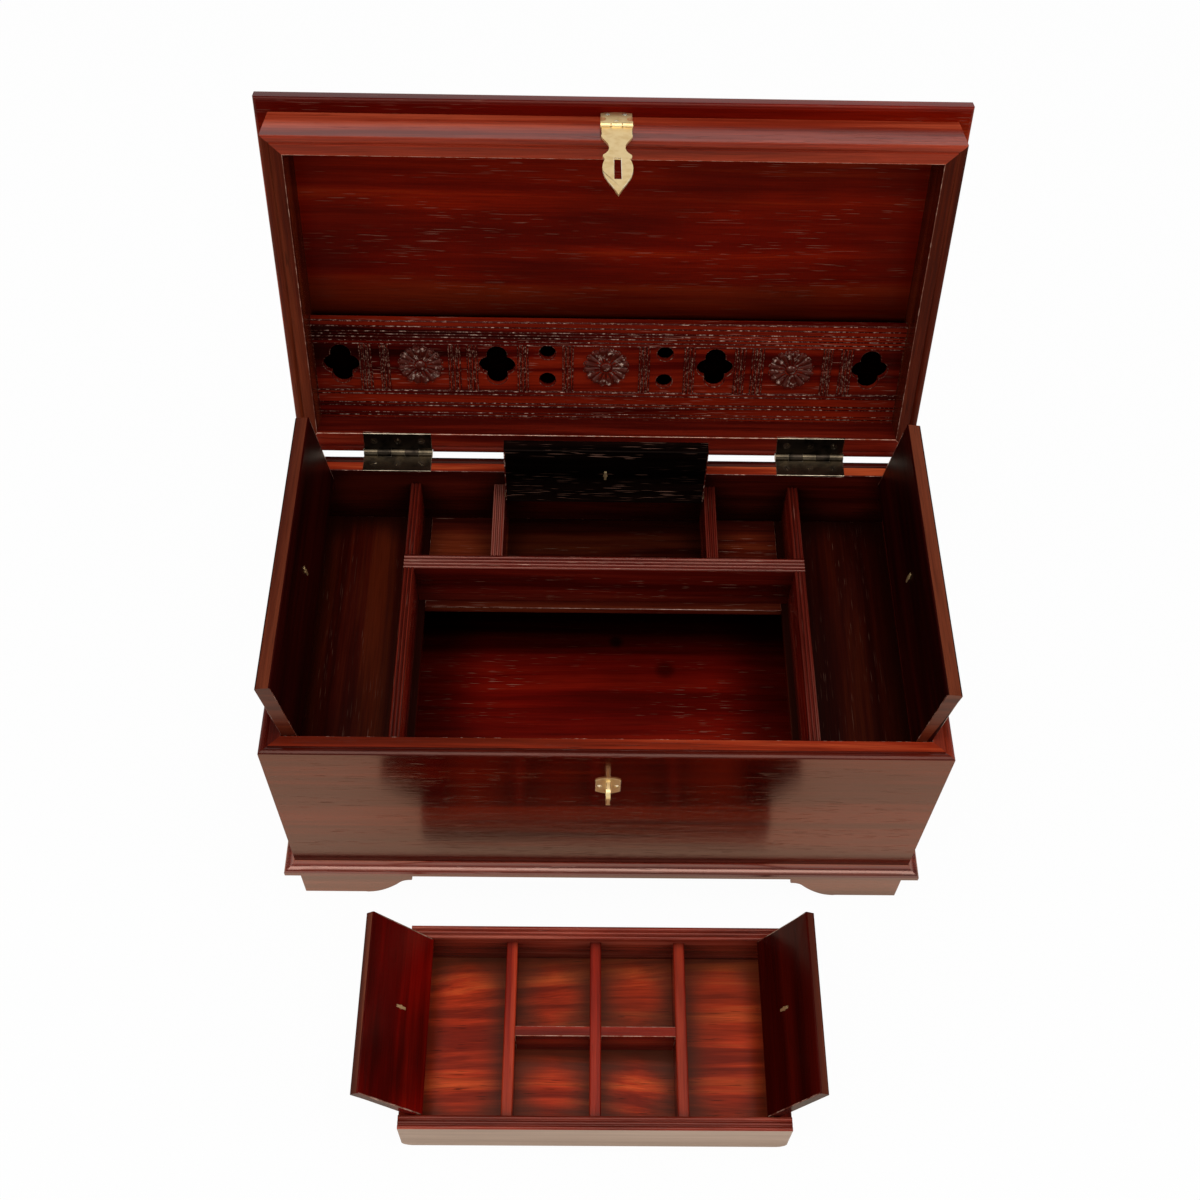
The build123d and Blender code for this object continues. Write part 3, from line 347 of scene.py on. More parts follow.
# In metres and angles, what tells a board's arrises, flat edges, broad faces and carving apart.
MERGED_WITHIN = 0.000002
FLAT_WITHIN = math.radians(0.4)
SHALLOWEST_ARRIS = math.radians(50)
SHARPEST_ARRIS = math.radians(100)
ROOM_TO_EASE = 2.6
SMOOTH_WITHIN = math.radians(28)
FACING = 0.7
LEAST_CARVED_SLOPE = 0.12
MOST_CARVED_SLOPE = 0.97
BROAD_FACE = 0.006
NARROWEST_EDGE = 0.002
WIDEST_EDGE = 0.016
MAIN_FINISH, HIGHLIGHT_AND_WEAR_FINISH, TOP_FINISH, FRONT_FINISH = range(4)


def planed(
    node, body, material, ease=0.0004, shortest=0.012, highlight_and_wear=None, carved=None, top=None, front=None
):
    """A copy of a sawn board with its long arrises eased, standing for that board.

    worn is the finish of the arrises: a pale painted highlight on wood, and wear on brass. top is that of
    the flat upward edges and front that of the wide faces looking forward. carved is a direction: faces that
    slope away from it take the arris finish too.
    """
    board_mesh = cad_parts[node].data.copy()
    board = put_in_scene(node + "_planed", board_mesh)
    finish_with(board, material, highlight_and_wear or material, top or material, front or material)
    if board_mesh.has_custom_normals:
        board_mesh.attributes.remove(board_mesh.attributes["custom_normal"])
    bm = bmesh.new()
    bm.from_mesh(board_mesh)
    bmesh.ops.remove_doubles(bm, verts=bm.verts, dist=MERGED_WITHIN)
    bmesh.ops.dissolve_limit(bm, angle_limit=FLAT_WITHIN, verts=bm.verts, edges=bm.edges)
    eased = bm.edges.layers.float.new("bevel_weight_edge")
    for edge in bm.edges:
        length = edge.calc_length()
        if len(edge.link_faces) != 2 or length < shortest:
            continue
        if not SHALLOWEST_ARRIS < edge.calc_face_angle() < SHARPEST_ARRIS:
            continue
        if min(face.calc_area() for face in edge.link_faces) / length > ease * ROOM_TO_EASE:
            edge[eased] = 1.0
    for face in bm.faces:
        width = 2 * face.calc_area() / face.calc_perimeter()
        broad = width > BROAD_FACE
        face.smooth = not broad
        face.material_index = MAIN_FINISH
        if top and face.normal.z > FACING and NARROWEST_EDGE < width < WIDEST_EDGE:
            face.material_index = TOP_FINISH
        if front and broad and face.normal.y < -FACING:
            face.material_index = FRONT_FINISH
        if carved and LEAST_CARVED_SLOPE < abs(face.normal.dot(carved)) < MOST_CARVED_SLOPE:
            face.material_index = HIGHLIGHT_AND_WEAR_FINISH
    bm.to_mesh(board_mesh)
    bm.free()
    arris = board.modifiers.new("eased arris", "BEVEL")
    arris.limit_method = "WEIGHT"
    arris.width = ease
    arris.segments = 3
    arris.profile = 0.5
    arris.use_clamp_overlap = False
    arris.harden_normals = True
    board_mesh.set_sharp_from_angle(angle=SMOOTH_WITHIN)
    if highlight_and_wear:
        arris.material = HIGHLIGHT_AND_WEAR_FINISH
    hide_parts(node)
    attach(board, body)


RED_BROWN = ((0.055, 0.0030, 0.0014), (0.140, 0.0090, 0.0036), (0.230, 0.0240, 0.0095))
DEEP_RED = ((0.024, 0.0012, 0.0006), (0.060, 0.0034, 0.0014), (0.110, 0.0100, 0.0040))
BEAD_RED = ((0.036, 0.0024, 0.0011), (0.080, 0.0060, 0.0026), (0.140, 0.0170, 0.0076))
RIM_RED = ((0.110, 0.0090, 0.0026), (0.290, 0.0250, 0.0070), (0.540, 0.0900, 0.0260))
FRONT_BROWN = ((0.022, 0.0008, 0.0003), (0.050, 0.0022, 0.0005), (0.115, 0.0080, 0.0016))
DARK_PORE = (0.012, 0.0012, 0.0006)
AMBER_TINT = (0.92, 0.25, 0.05)
wall_wood = timber(
    "wall_hardwood",
    "x",
    FRONT_BROWN,
    DARK_PORE,
    pores=0.8,
    shine=1.0,
    roughness=0.14,
    tint=AMBER_TINT,
    lacquer_ior=1.6,
    relief=0.9,
)
rim_wood = timber("rim_hardwood", "x", RIM_RED, DARK_PORE, pores=0.6, shine=0.3)
bead_wood = timber("bead_hardwood", "x", BEAD_RED, DARK_PORE, pores=0.5, shine=0.6, offset=(0.6, 0.1, 0))
end_wood = timber("end_hardwood", "y", RED_BROWN, DARK_PORE, pores=0.5, shine=0.6, offset=(0.4, 0.1, 0))
inner_wood = timber(
    "inner_wall_hardwood",
    "x",
    DEEP_RED,
    DARK_PORE,
    pores=0.5,
    shine=0.12,
    offset=(0.9, 0.3, 0),
    smoke=0.5,
    corners=0.8,
)
# Pale painted highlights in broken lengths along the arrises: dark_arris on darker boards, bead_line on the
# bead.
dark_arris = highlighted_lacquer("dark_arris", plain_shade=(0.10, 0.022, 0.012), highlight_and_wear=(0.34, 0.19, 0.14), broken=0.56)
bead_line = highlighted_lacquer(
    "bead_line",
    plain_shade=(0.050, 0.0050, 0.0028),
    highlight_and_wear=(0.55, 0.32, 0.24),
    broken=0.62,
    shine=0.4,
    fineness=180.0,
    coat=0.2,
)
planed("case_front", "case", bead_wood, highlight_and_wear=bead_line, top=rim_wood, front=wall_wood)
planed("case_back", "case", inner_wood, highlight_and_wear=bead_line, top=rim_wood)
for wall_name in ("case_left_side", "case_right_side"):
    planed(wall_name, "case", end_wood, highlight_and_wear=dark_arris)


# ---- Bottom board ----
# One wide red board with its grain from side to side, nailed up inside the four walls. It is the floor of
# the well and of the hollow below the tills. Painted shadow darkens it under the tills and at the sides.

KNOT_HEART = 0.3


def darken(material, shown, remains, place):
    """Colour darkened where shown is 0, to the share remains of it, for knots and for painted shade."""
    tree = material.node_tree
    base = tree.nodes["Principled BSDF"].inputs["Base Color"]
    stained = base.links[0].from_socket
    kept = reckon(tree, "MULTIPLY_ADD", (place[0] - 300, place[1]), shown, 1.0 - remains, remains)
    shaded = add_node(tree, "ShaderNodeVectorMath", place, operation="SCALE")
    feed(tree, shaded.inputs[0], stained)
    feed(tree, shaded.inputs["Scale"], kept)
    feed(tree, base, shaded.outputs[0])


def paint_shade_below(material, way, level, remains, softness, spared_y=None):
    """Painted shade: colour darkened below a level counted along way, on both sides of the middle alike.

    A softness below zero darkens above the level. Wood in front of spared_y keeps its colour.
    """
    tree = material.node_tree
    place = add_node(tree, "ShaderNodeTexCoord", (-900, -600))
    height = add_node(tree, "ShaderNodeVectorMath", (-700, -600), operation="DOT_PRODUCT")
    height.inputs[1].default_value = way
    feed(tree, height.inputs[0], place.outputs["Object"])
    distance = reckon(tree, "ABSOLUTE", (-600, -700), height.outputs["Value"])
    shown = between(tree, distance, level - softness, level, (-500, -600))
    if spared_y is not None:
        split = add_node(tree, "ShaderNodeSeparateXYZ", (-900, -800))
        feed(tree, split.inputs[0], place.outputs["Object"])
        spared = reckon(tree, "LESS_THAN", (-700, -800), split.outputs["Y"], spared_y)
        shown = reckon(tree, "MAXIMUM", (-400, -700), shown, spared)
    darken(material, shown, remains, (0, -600))


def knot(material, spot, radius, remains):
    """A round dark knot in a board."""
    tree = material.node_tree
    place = add_node(tree, "ShaderNodeTexCoord", (-900, -900))
    away = add_node(tree, "ShaderNodeVectorMath", (-700, -900), operation="DISTANCE")
    away.inputs[1].default_value = spot
    feed(tree, away.inputs[0], place.outputs["Object"])
    shown = between(tree, away.outputs["Value"], radius * KNOT_HEART, radius, (-500, -900))
    darken(material, shown, remains, (0, -900))


ACROSS = (1.0, 0.0, 0.0)
FRONT_TO_BACK = (0.0, 1.0, 0.0)
# Pale pores: the open pores are real and sunk in the bump, but their pale colour is a painted glint.
PALE_PORE_GLINT = (0.34, 0.17, 0.12)
WELL_RED = ((0.110, 0.0024, 0.0011), (0.190, 0.0044, 0.0018), (0.270, 0.0090, 0.0030))
well_wood = timber(
    "well_floor_hardwood",
    "x",
    WELL_RED,
    PALE_PORE_GLINT,
    pores=0.8,
    shine=0.15,
    offset=(0.13, 0.31, 0.2),
    smoke=0.35,
    corners=0.7,
)
board_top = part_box("case_bottom")[1][2]
# Painted shadow: the floor is darkened far from its middle, at the back under the tills and at both sides.
paint_shade_below(well_wood, FRONT_TO_BACK, level=0.075, remains=0.15, softness=-0.036)
paint_shade_below(well_wood, ACROSS, level=0.085, remains=0.40, softness=-0.045)
knot(well_wood, (0.0107, 0.0975, board_top), radius=0.008, remains=0.3)
knot(well_wood, (0.0498, 0.0717, board_top), radius=0.011, remains=0.45)
planed("case_bottom", "case", well_wood)


# ---- Base moulding ----
# Four lengths of stained moulding with a cove above a round nose, mitred and glued round the foot of the
# case. The nose carries a pale painted highlight in broken lengths.

moulding_wood = timber(
    "moulding_hardwood", "x", RED_BROWN, DARK_PORE, pores=0.4, shine=1.0, offset=(0.7, 0, 0), lacquer_ior=1.8
)
# Pale painted highlight, in broken lengths, along the eased arrises of the moulding, lid rails and tray
# dividers.
pale_arris = highlighted_lacquer("pale_arris", plain_shade=(0.30, 0.060, 0.022), highlight_and_wear=(0.62, 0.34, 0.24))
planed("base_moulding", "case", moulding_wood, ease=0.0007, highlight_and_wear=pale_arris)


# ---- Feet ----
# Four bracket feet, each two short boards glued in a corner and sawn to an ogee, glued under the moulding.
# They are stained a duller brown than the case.

FOOT_BROWN = ((0.060, 0.0090, 0.0045), (0.130, 0.0230, 0.0110), (0.210, 0.0440, 0.0220))
foot_wood = timber(
    "foot_hardwood",
    "x",
    FOOT_BROWN,
    DARK_PORE,
    pores=0.4,
    shine=1.0,
    roughness=0.22,
    offset=(0.2, 0.5, 0),
    lacquer_ior=1.8,
)
for end in ("front", "back"):
    for hand in ("left", "right"):
        planed(end + "_" + hand + "_foot", "case", foot_wood, ease=0.0006)


# ---- Till floors ----
# Thin boards let into grooves in the walls. The side ones run from front to back and the back one runs
# across; their inner edges stand out past the dividers as ledges for the tray.

# Both side floors are darkened as painted shade for the depth of the box; the right one darker still.
SHADED_FLOOR_BROWN = ((0.022, 0.0012, 0.0005), (0.050, 0.0034, 0.0010), (0.090, 0.0110, 0.0026))
SHADED_BROWN = ((0.018, 0.0012, 0.0006), (0.038, 0.0032, 0.0010), (0.066, 0.0085, 0.0022))
for hand, shades, offset in (
    ("left", SHADED_FLOOR_BROWN, (0.2, 0.6, 0.1)),
    ("right", SHADED_BROWN, (0.8, 0.2, 0.4)),
):
    side_floor_wood = timber(
        hand + "_floor_hardwood",
        "y",
        shades,
        PALE_PORE_GLINT,
        pores=0.3,
        shine=0.2,
        offset=offset,
        smoke=0.5,
        corners=0.9,
    )
    planed(hand + "_compartment_floor", "case", side_floor_wood)

TILL_RED = ((0.040, 0.0028, 0.0012), (0.110, 0.0110, 0.0036), (0.185, 0.0290, 0.0084))
LEDGE_BACK = 0.08
back_floor_wood = timber(
    "back_floor_hardwood", "x", TILL_RED, PALE_PORE_GLINT, pores=0.9, shine=0.2, offset=(0.5, 0.2, 0.4), corners=0.5
)
middle_till_edge = -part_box("left_short_divider")[1][0]
# Painted shade: the middle till's floor is darkened behind the ledge, under the standing centre flap.
paint_shade_below(back_floor_wood, ACROSS, middle_till_edge, remains=0.28, softness=0.002, spared_y=LEDGE_BACK)
planed("till_floor", "case", back_floor_wood, highlight_and_wear=dark_arris)


# ---- Dividers ----
# Narrow boards set on edge on the till floors, with reeds scratched along their tops. The cross divider
# is halved over the two long ones, and two short ones behind it carry the centre flap's pins.

UPWARD = Vector((0.0, 0.0, 1.0))
DIVIDER_RED = ((0.050, 0.0020, 0.0010), (0.115, 0.0056, 0.0024), (0.180, 0.0150, 0.0060))
REED_HIGHLIGHT_RED = ((0.070, 0.0060, 0.0030), (0.150, 0.0190, 0.0110), (0.270, 0.0800, 0.0560))
divider_wood = timber(
    "divider_hardwood",
    "y",
    DIVIDER_RED,
    PALE_PORE_GLINT,
    pores=0.4,
    shine=0.3,
    offset=(0.05, 0.8, 0.3),
    corners=0.5,
)
cross_wood = timber(
    "cross_divider_hardwood",
    "x",
    DIVIDER_RED,
    PALE_PORE_GLINT,
    pores=0.9,
    shine=0.3,
    offset=(0.7, 0.3, 0.1),
    corners=0.5,
)
# The reeds' rounded faces, and the tray's long boards' arrises, are painted paler: a painted highlight.
reed_highlight_wood = timber(
    "reed_hardwood", "y", REED_HIGHLIGHT_RED, PALE_PORE_GLINT, pores=0.8, shine=0.7, offset=(0.35, 0.7, 0.2), corners=0.4
)
cross_reed_highlight_wood = timber(
    "cross_reed_hardwood", "x", REED_HIGHLIGHT_RED, PALE_PORE_GLINT, pores=0.8, shine=0.9, offset=(0.75, 0.1, 0.2)
)
for divider_name in ("left_long_divider", "right_long_divider", "left_short_divider", "right_short_divider"):
    planed(divider_name, "case", divider_wood, highlight_and_wear=reed_highlight_wood, carved=UPWARD)
planed("cross_divider", "case", cross_wood, highlight_and_wear=cross_reed_highlight_wood, carved=UPWARD)


# ---- Pivot pins ----
# Plain brass rod, driven into the walls, the short dividers and the tray's long boards. Its other end sits
# in a bore in each flap, which turns on it.

metal_wear, wear_in, wear_out = new_group(
    "handled_metal",
    (("Vector", "NodeSocketVector", None), ("Cloud Scale", "NodeSocketFloat", 140.0)),
    ("Tarnish", "Scratches"),
)
tarnish = noise(
    metal_wear, wear_in["Vector"], wear_in["Cloud Scale"], detail=4.0, roughness=0.5, place=(-1000, 200)
)
feed(metal_wear, wear_out["Tarnish"], between(metal_wear, tarnish, start=0.4, full=0.7, place=(-700, 200)))
scuffs = marks(
    metal_wear, wear_in["Vector"], (300.0, 4200.0, 1500.0), detail=3.0, roughness=0.7, place=(-1000, -100)
)
feed(metal_wear, wear_out["Scratches"], scuffs)

SCRATCH_DEPTH = 0.0001


def metal(name, clean, tarnished, roughness, spread, relief=0.12):
    """Handled metal: clouds of tarnish, and fine scratches that spread its roughness."""
    finish, tree, surface = new_finish(name)
    feed(tree, surface.inputs["Metallic"], 1.0)
    place = add_node(tree, "ShaderNodeTexCoord", (-1100, 0))
    wear = add_node(tree, "ShaderNodeGroup", (-850, 0), node_tree=metal_wear)
    feed(tree, wear.inputs["Vector"], place.outputs["Object"])
    tone = laid_over(tree, clean, tarnished, wear.outputs["Tarnish"], (-500, 200))
    feed(tree, surface.inputs["Base Color"], tone)
    scratches = wear.outputs["Scratches"]
    dullness = reckon(tree, "MULTIPLY_ADD", (-500, -100), scratches, spread, roughness)
    feed(tree, surface.inputs["Roughness"], dullness)
    raise_surface(tree, surface, scratches, relief, SCRATCH_DEPTH, (-300, -300))
    return finish


pin_brass = metal("pin_brass", (0.62, 0.44, 0.20), (0.34, 0.22, 0.09), roughness=0.3, spread=0.2)
for pins_name in ("side_flap_pins", "centre_flap_pins", "tray_flap_pins"):
    finish_with(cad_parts[pins_name], pin_brass)


# ---- Staple ----
# A cast brass plate, rounded above and below, screwed to the front wall, with a flat bar loop through it
# for a padlock.

FITTING_EDGE = 0.0015
satin_brass = metal("satin_brass", (0.95, 0.73, 0.38), (0.84, 0.60, 0.27), roughness=0.34, spread=0.22)
bright_brass = metal("bright_brass", (0.98, 0.90, 0.70), (0.86, 0.72, 0.45), roughness=0.16, spread=0.1)
for staple_name, ease in (("staple_plate", 0.00035), ("staple_loop", 0.0004)):
    planed(staple_name, "case", satin_brass, ease=ease, shortest=FITTING_EDGE, highlight_and_wear=bright_brass)
planed("staple_screws", "case", bright_brass, ease=0.0002, shortest=FITTING_EDGE)


# ---- Butt hinges ----
# Two dark brass butt hinges let into the rims, each leaf held by three slotted screws. The case leaf has
# three knuckles and the lid leaf two, on one pin.

SCREW_EDGE = 0.0008
aged_brass = metal(
    "aged_brass", (0.120, 0.092, 0.058), (0.060, 0.046, 0.030), roughness=0.20, spread=0.06, relief=0.02
)
dark_leaf = metal(
    "dark_leaf_brass", (0.046, 0.034, 0.024), (0.014, 0.011, 0.008), roughness=0.26, spread=0.08, relief=0.03
)
rubbed_brass = metal(
    "rubbed_brass", (0.75, 0.62, 0.45), (0.34, 0.27, 0.19), roughness=0.18, spread=0.1, relief=0.03
)
hinge_screw = metal("hinge_screw_brass", (0.16, 0.13, 0.09), (0.05, 0.04, 0.03), roughness=0.2, spread=0.1)
for hand in ("left", "right"):
    for body, leaf_brass in (("case", aged_brass), ("lid", dark_leaf)):
        leaf_name = hand + "_hinge_" + body + "_leaf"
        planed(leaf_name, body, leaf_brass, ease=0.0004, shortest=FITTING_EDGE, highlight_and_wear=rubbed_brass)
for body in ("case", "lid"):
    screws_name = body + "_hinge_screws"
    planed(screws_name, body, hinge_screw, ease=0.00022, shortest=SCREW_EDGE, highlight_and_wear=rubbed_brass)
finish_with(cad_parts["lid_hinge_pins"], aged_brass)


# ---- Lid rails ----
# Four mitred rails, glued at the corners, make the lid's box, with the same step and bead along the rim as
# the case has. The back one is thicker, and hollowed for the hinge barrels.

RAIL_RED = ((0.130, 0.0100, 0.0040), (0.270, 0.0260, 0.0090), (0.420, 0.0620, 0.0240))
INNER_BROWN = ((0.028, 0.0026, 0.0010), (0.070, 0.0072, 0.0022), (0.120, 0.0180, 0.0052))
front_rail_wood = timber(
    "front_rail_hardwood", "lid_x", RAIL_RED, DARK_PORE, pores=0.5, shine=0.5, offset=(0.3, 0, 0.5)
)
back_rail_wood = timber(
    "back_rail_hardwood", "lid_x", RED_BROWN, DARK_PORE, pores=0.5, shine=0.3, offset=(0.1, 0, 0.9)
)
side_rail_wood = timber(
    "side_rail_hardwood", "lid_up", INNER_BROWN, DARK_PORE, pores=0.5, shine=0.15, offset=(0.3, 0.7, 0.5)
)
planed("lid_front_rail", "lid", front_rail_wood, highlight_and_wear=pale_arris)
planed("lid_back_rail", "lid", back_rail_wood, highlight_and_wear=pale_arris)
for rail_name in ("lid_left_rail", "lid_right_rail"):
    planed(rail_name, "lid", side_rail_wood, highlight_and_wear=dark_arris)


# ---- Top board ----
# One wide board glued over the rails, with a cove and a round nose run round its edge. Its underside is
# the panel seen inside the lid, with little shine and painted shade that darkens towards the letter rack.

PANEL_RED = ((0.100, 0.0026, 0.0006), (0.178, 0.0062, 0.0009), (0.290, 0.0230, 0.0040))
RACK_UP = Vector((0.0, math.sin(LID_LEAN), math.cos(LID_LEAN)))
RACK_OUT = Vector((0.0, -math.cos(LID_LEAN), math.sin(LID_LEAN)))
rack_points = [vertex.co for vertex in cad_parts["letter_rack"].data.vertices]
rack_foot = min(point.dot(RACK_UP) for point in rack_points)
rack_head = max(point.dot(RACK_UP) for point in rack_points)
rack_face = max(point.dot(RACK_OUT) for point in rack_points)
lid_board = {"offset": (0.9, 0.2, 0.7), "scale": 0.6, "streaks": 0.3, "smoke": 0.35}
lid_wood = timber("lid_hardwood", "lid_x", PANEL_RED, PALE_PORE_GLINT, pores=0.3, shine=0.3, **lid_board)
panel_wood = timber("panel_hardwood", "lid_x", PANEL_RED, PALE_PORE_GLINT, pores=0.3, shine=0.04, **lid_board)
# Painted shade on the panel: darker towards the rack, and nearly black behind and below its head.
paint_shade_below(panel_wood, RACK_UP, level=rack_head + 0.06, remains=0.22, softness=0.06)
paint_shade_below(panel_wood, RACK_UP, level=rack_head, remains=0.04, softness=0.006)
planed("lid_top_board", "lid", lid_wood, ease=0.0010, front=panel_wood)


# ---- Letter rack ----
# A thin board between the side rails, standing off the panel so that letters fit behind it. It is pierced
# with round holes and quatrefoils and carved with reeds and three rosettes.

RACK_RED = ((0.014, 0.0006, 0.0004), (0.074, 0.0026, 0.0012), (0.190, 0.0110, 0.0030))
rack_wood = timber(
    "rack_hardwood", "lid_x", RACK_RED, PALE_PORE_GLINT, pores=0.8, shine=0.06, offset=(0.15, 0.9, 0.35), smoke=0.35
)
# The rack's carved faces take a pale painted highlight in broken lengths.
rack_groove = highlighted_lacquer(
    "rack_groove",
    plain_shade=(0.036, 0.0022, 0.0012),
    highlight_and_wear=(0.30, 0.17, 0.12),
    broken=0.61,
    shine=0.15,
    fineness=520.0,
    coat=0.05,
)
planed("letter_rack", "lid", rack_wood, shortest=0.0006, highlight_and_wear=rack_groove, carved=RACK_OUT)

MILLIMETRE = 0.001


def rack_place(height, x, proud):
    """A place on the leaning rack, so high above its foot: X runs across it, Y up it and Z out of it."""
    spot = RACK_UP * (rack_foot + height) + RACK_OUT * (rack_face + proud)
    return Matrix.Translation(spot + Vector((x, 0.0, 0.0))) @ Matrix.Rotation(QUARTER_TURN - LID_LEAN, 4, "X")


def new_piece(bm, name):
    mesh = bpy.data.meshes.new(name)
    bm.to_mesh(mesh)
    bm.free()
    return put_in_scene(name, mesh)


# Each reed is a thin half-sunk rod along the whole rack, at its own height in millimetres above the foot.
REED_HEIGHTS = (2.4, 5.0, 11.2, 13.8, 21.7, 24.4, 65.3, 68.1, 71.2, 73.6, 75.9, 80.0, 84.2)
REED_RADIUS = 0.32 * MILLIMETRE
REED_SUNK = 0.3 * REED_RADIUS
REED_FACETS = 8
rack_low, rack_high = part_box("letter_rack")
reed_length = rack_high[0] - rack_low[0] - 2 * REED_RADIUS
bm = bmesh.new()
for height in REED_HEIGHTS:
    reed_place = rack_place(height * MILLIMETRE, (rack_low[0] + rack_high[0]) / 2, -REED_SUNK)
    bmesh.ops.create_cone(
        bm,
        cap_ends=True,
        segments=REED_FACETS,
        radius1=REED_RADIUS,
        radius2=REED_RADIUS,
        depth=reed_length,
        matrix=reed_place @ Matrix.Rotation(QUARTER_TURN, 4, "Y"),
    )
for face in bm.faces:
    face.smooth = len(face.verts) == 4
# The reeds are painted with pale highlights in broken lengths.
rack_line = highlighted_lacquer(
    "rack_line",
    plain_shade=(0.044, 0.0030, 0.0018),
    highlight_and_wear=(0.56, 0.36, 0.28),
    broken=0.61,
    shine=0.2,
    fineness=300.0,
    coat=0.05,
)
rack_reeds = new_piece(bm, "rack_reeds")
finish_with(rack_reeds, rack_line)
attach(rack_reeds, "lid")

# Each rosette is a ring of round-backed petals about a button, standing in a shallow hollow in the board.
# A flat strip is wrapped round the button and raised into petals, and its two ends are joined.
ROSETTE_MIDDLE = 46.5 * MILLIMETRE
ROSETTE_SPACING = 136.0 * MILLIMETRE
ROSETTE_SHIFT = -1.7 * MILLIMETRE
ROSETTE_RADIUS = 16.8 * MILLIMETRE
ROSETTE_RISE = 2.3 * MILLIMETRE
ROSETTE_SUNK = 1.4 * MILLIMETRE
BUTTON_RADIUS = 4.4 * MILLIMETRE
BUTTON_FLATTENED = 0.62
PETALS = 16
PETAL_STEPS = 10
PETAL_RINGS = 14
PETAL_TIP = 0.10
TIP_ROUNDING = 0.5
BACK_ROUNDING = 0.6
ROOT_BELLY = 0.35
FULLEST_OUT = 0.85
VALLEY_RISE = 0.15
# The petals are dark, with a few pale painted highlights as glints.
petal_wood = highlighted_lacquer(
    "petal_lacquer",
    plain_shade=(0.050, 0.0060, 0.0034),
    highlight_and_wear=(0.60, 0.42, 0.34),
    broken=0.66,
    shine=0.2,
    fineness=240.0,
    coat=0.05,
)


def petal_point(out, angle):
    """A point of a rosette: out runs from 0 at the button to 1 at the rim."""
    ridge = abs(math.sin(angle * PETALS / 2))
    reach = ROSETTE_RADIUS * (1.0 - PETAL_TIP + PETAL_TIP * ridge ** TIP_ROUNDING)
    radius = BUTTON_RADIUS + (reach - BUTTON_RADIUS) * out
    belly = ROOT_BELLY + (1.0 - ROOT_BELLY) * out if out < FULLEST_OUT else (1.0 - out) / (1.0 - FULLEST_OUT)
    back = VALLEY_RISE + (1.0 - VALLEY_RISE) * ridge ** BACK_ROUNDING * belly
    rise = ROSETTE_RISE * back if out < 1.0 else 0.0
    return Vector((math.cos(angle) * radius, math.sin(angle) * radius, rise))


around = PETALS * PETAL_STEPS
flattened = Matrix.Diagonal((1.0, 1.0, BUTTON_FLATTENED, 1.0))
bm = bmesh.new()
for number in (-1, 0, 1):
    rosette_place = rack_place(ROSETTE_MIDDLE, ROSETTE_SHIFT + number * ROSETTE_SPACING, -ROSETTE_SUNK)
    strip = bmesh.ops.create_grid(bm, x_segments=PETAL_RINGS, y_segments=around, size=0.5)
    for vertex in strip["verts"]:
        ring = round((vertex.co.x + 0.5) * PETAL_RINGS)
        step = round((vertex.co.y + 0.5) * around)
        vertex.co = rosette_place @ petal_point(ring / PETAL_RINGS, 2 * math.pi * step / around)
    bmesh.ops.remove_doubles(bm, verts=strip["verts"], dist=MERGED_WITHIN)
    bmesh.ops.create_uvsphere(
        bm, u_segments=24, v_segments=12, radius=BUTTON_RADIUS, matrix=rosette_place @ flattened
    )
bmesh.ops.recalc_face_normals(bm, faces=bm.faces)
for face in bm.faces:
    face.smooth = True
rack_rosettes = new_piece(bm, "rack_rosettes")
finish_with(rack_rosettes, petal_wood)
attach(rack_rosettes, "lid")


# ---- Hasp ----
# A satin brass plate, riveted flat on the lid's front rail, carries a spade-shaped leaf on a pin. The leaf
# has a slot that the staple stands through when the lid is shut.

planed("hasp_plate", "lid", satin_brass, ease=0.0003, shortest=FITTING_EDGE, highlight_and_wear=bright_brass)
planed("hasp_pin", "lid", satin_brass, ease=0.0002, shortest=FITTING_EDGE)
planed("hasp_rivets", "lid", bright_brass, ease=0.0002, shortest=FITTING_EDGE)
planed(
    "hasp_leaf",
    "hasp_leaf",
    satin_brass,
    ease=0.0003,
    shortest=FITTING_EDGE,
    highlight_and_wear=bright_brass,
)


# ---- Flaps ----
# Plain boards over the tills, each turning on two pins at its outer edge. Their edges catch the light, and
# the centre one is stained almost black.

FLAP_RED = ((0.004, 0.0002, 0.0001), (0.012, 0.0004, 0.0003), (0.026, 0.0011, 0.0005))
EDGE_BROWN = ((0.050, 0.0060, 0.0020), (0.090, 0.0135, 0.0042), (0.150, 0.0300, 0.0110))
NEAR_BLACK = ((0.0008, 0.0005, 0.0004), (0.0020, 0.0010, 0.0008), (0.0060, 0.0022, 0.0016))
flap_wood = timber(
    "flap_hardwood", "y", FLAP_RED, DARK_PORE, pores=0.4, shine=0.1, roughness=0.4, offset=(0.6, 0.4, 0.9)
)
flap_edge = timber(
    "flap_edge_hardwood",
    "y",
    EDGE_BROWN,
    DARK_PORE,
    pores=0.5,
    shine=0.2,
    roughness=0.4,
    offset=(0.3, 0.8, 0.4),
)
flap_end = timber(
    "flap_end_hardwood", "x", EDGE_BROWN, DARK_PORE, pores=0.5, shine=0.34, roughness=0.3, lacquer_ior=1.45
)
for flap_name in ("left_flap", "right_flap"):
    planed(
        flap_name, flap_name, flap_wood, ease=0.0009, highlight_and_wear=dark_arris, top=flap_edge, front=flap_end
    )
centre_flap_wood = timber(
    "centre_flap_hardwood", "x", NEAR_BLACK, PALE_PORE_GLINT, pores=0.45, shine=0.06, offset=(0.33, 0.77, 0.15)
)
# Its arrises take the rack's pale painted highlight.
planed("centre_flap", "centre_flap", centre_flap_wood, ease=0.0008, highlight_and_wear=rack_line)


# ---- Pulls ----
# A small turned brass knob on each flap of the case and of the tray, held by a split pin whose legs are
# bent over underneath.

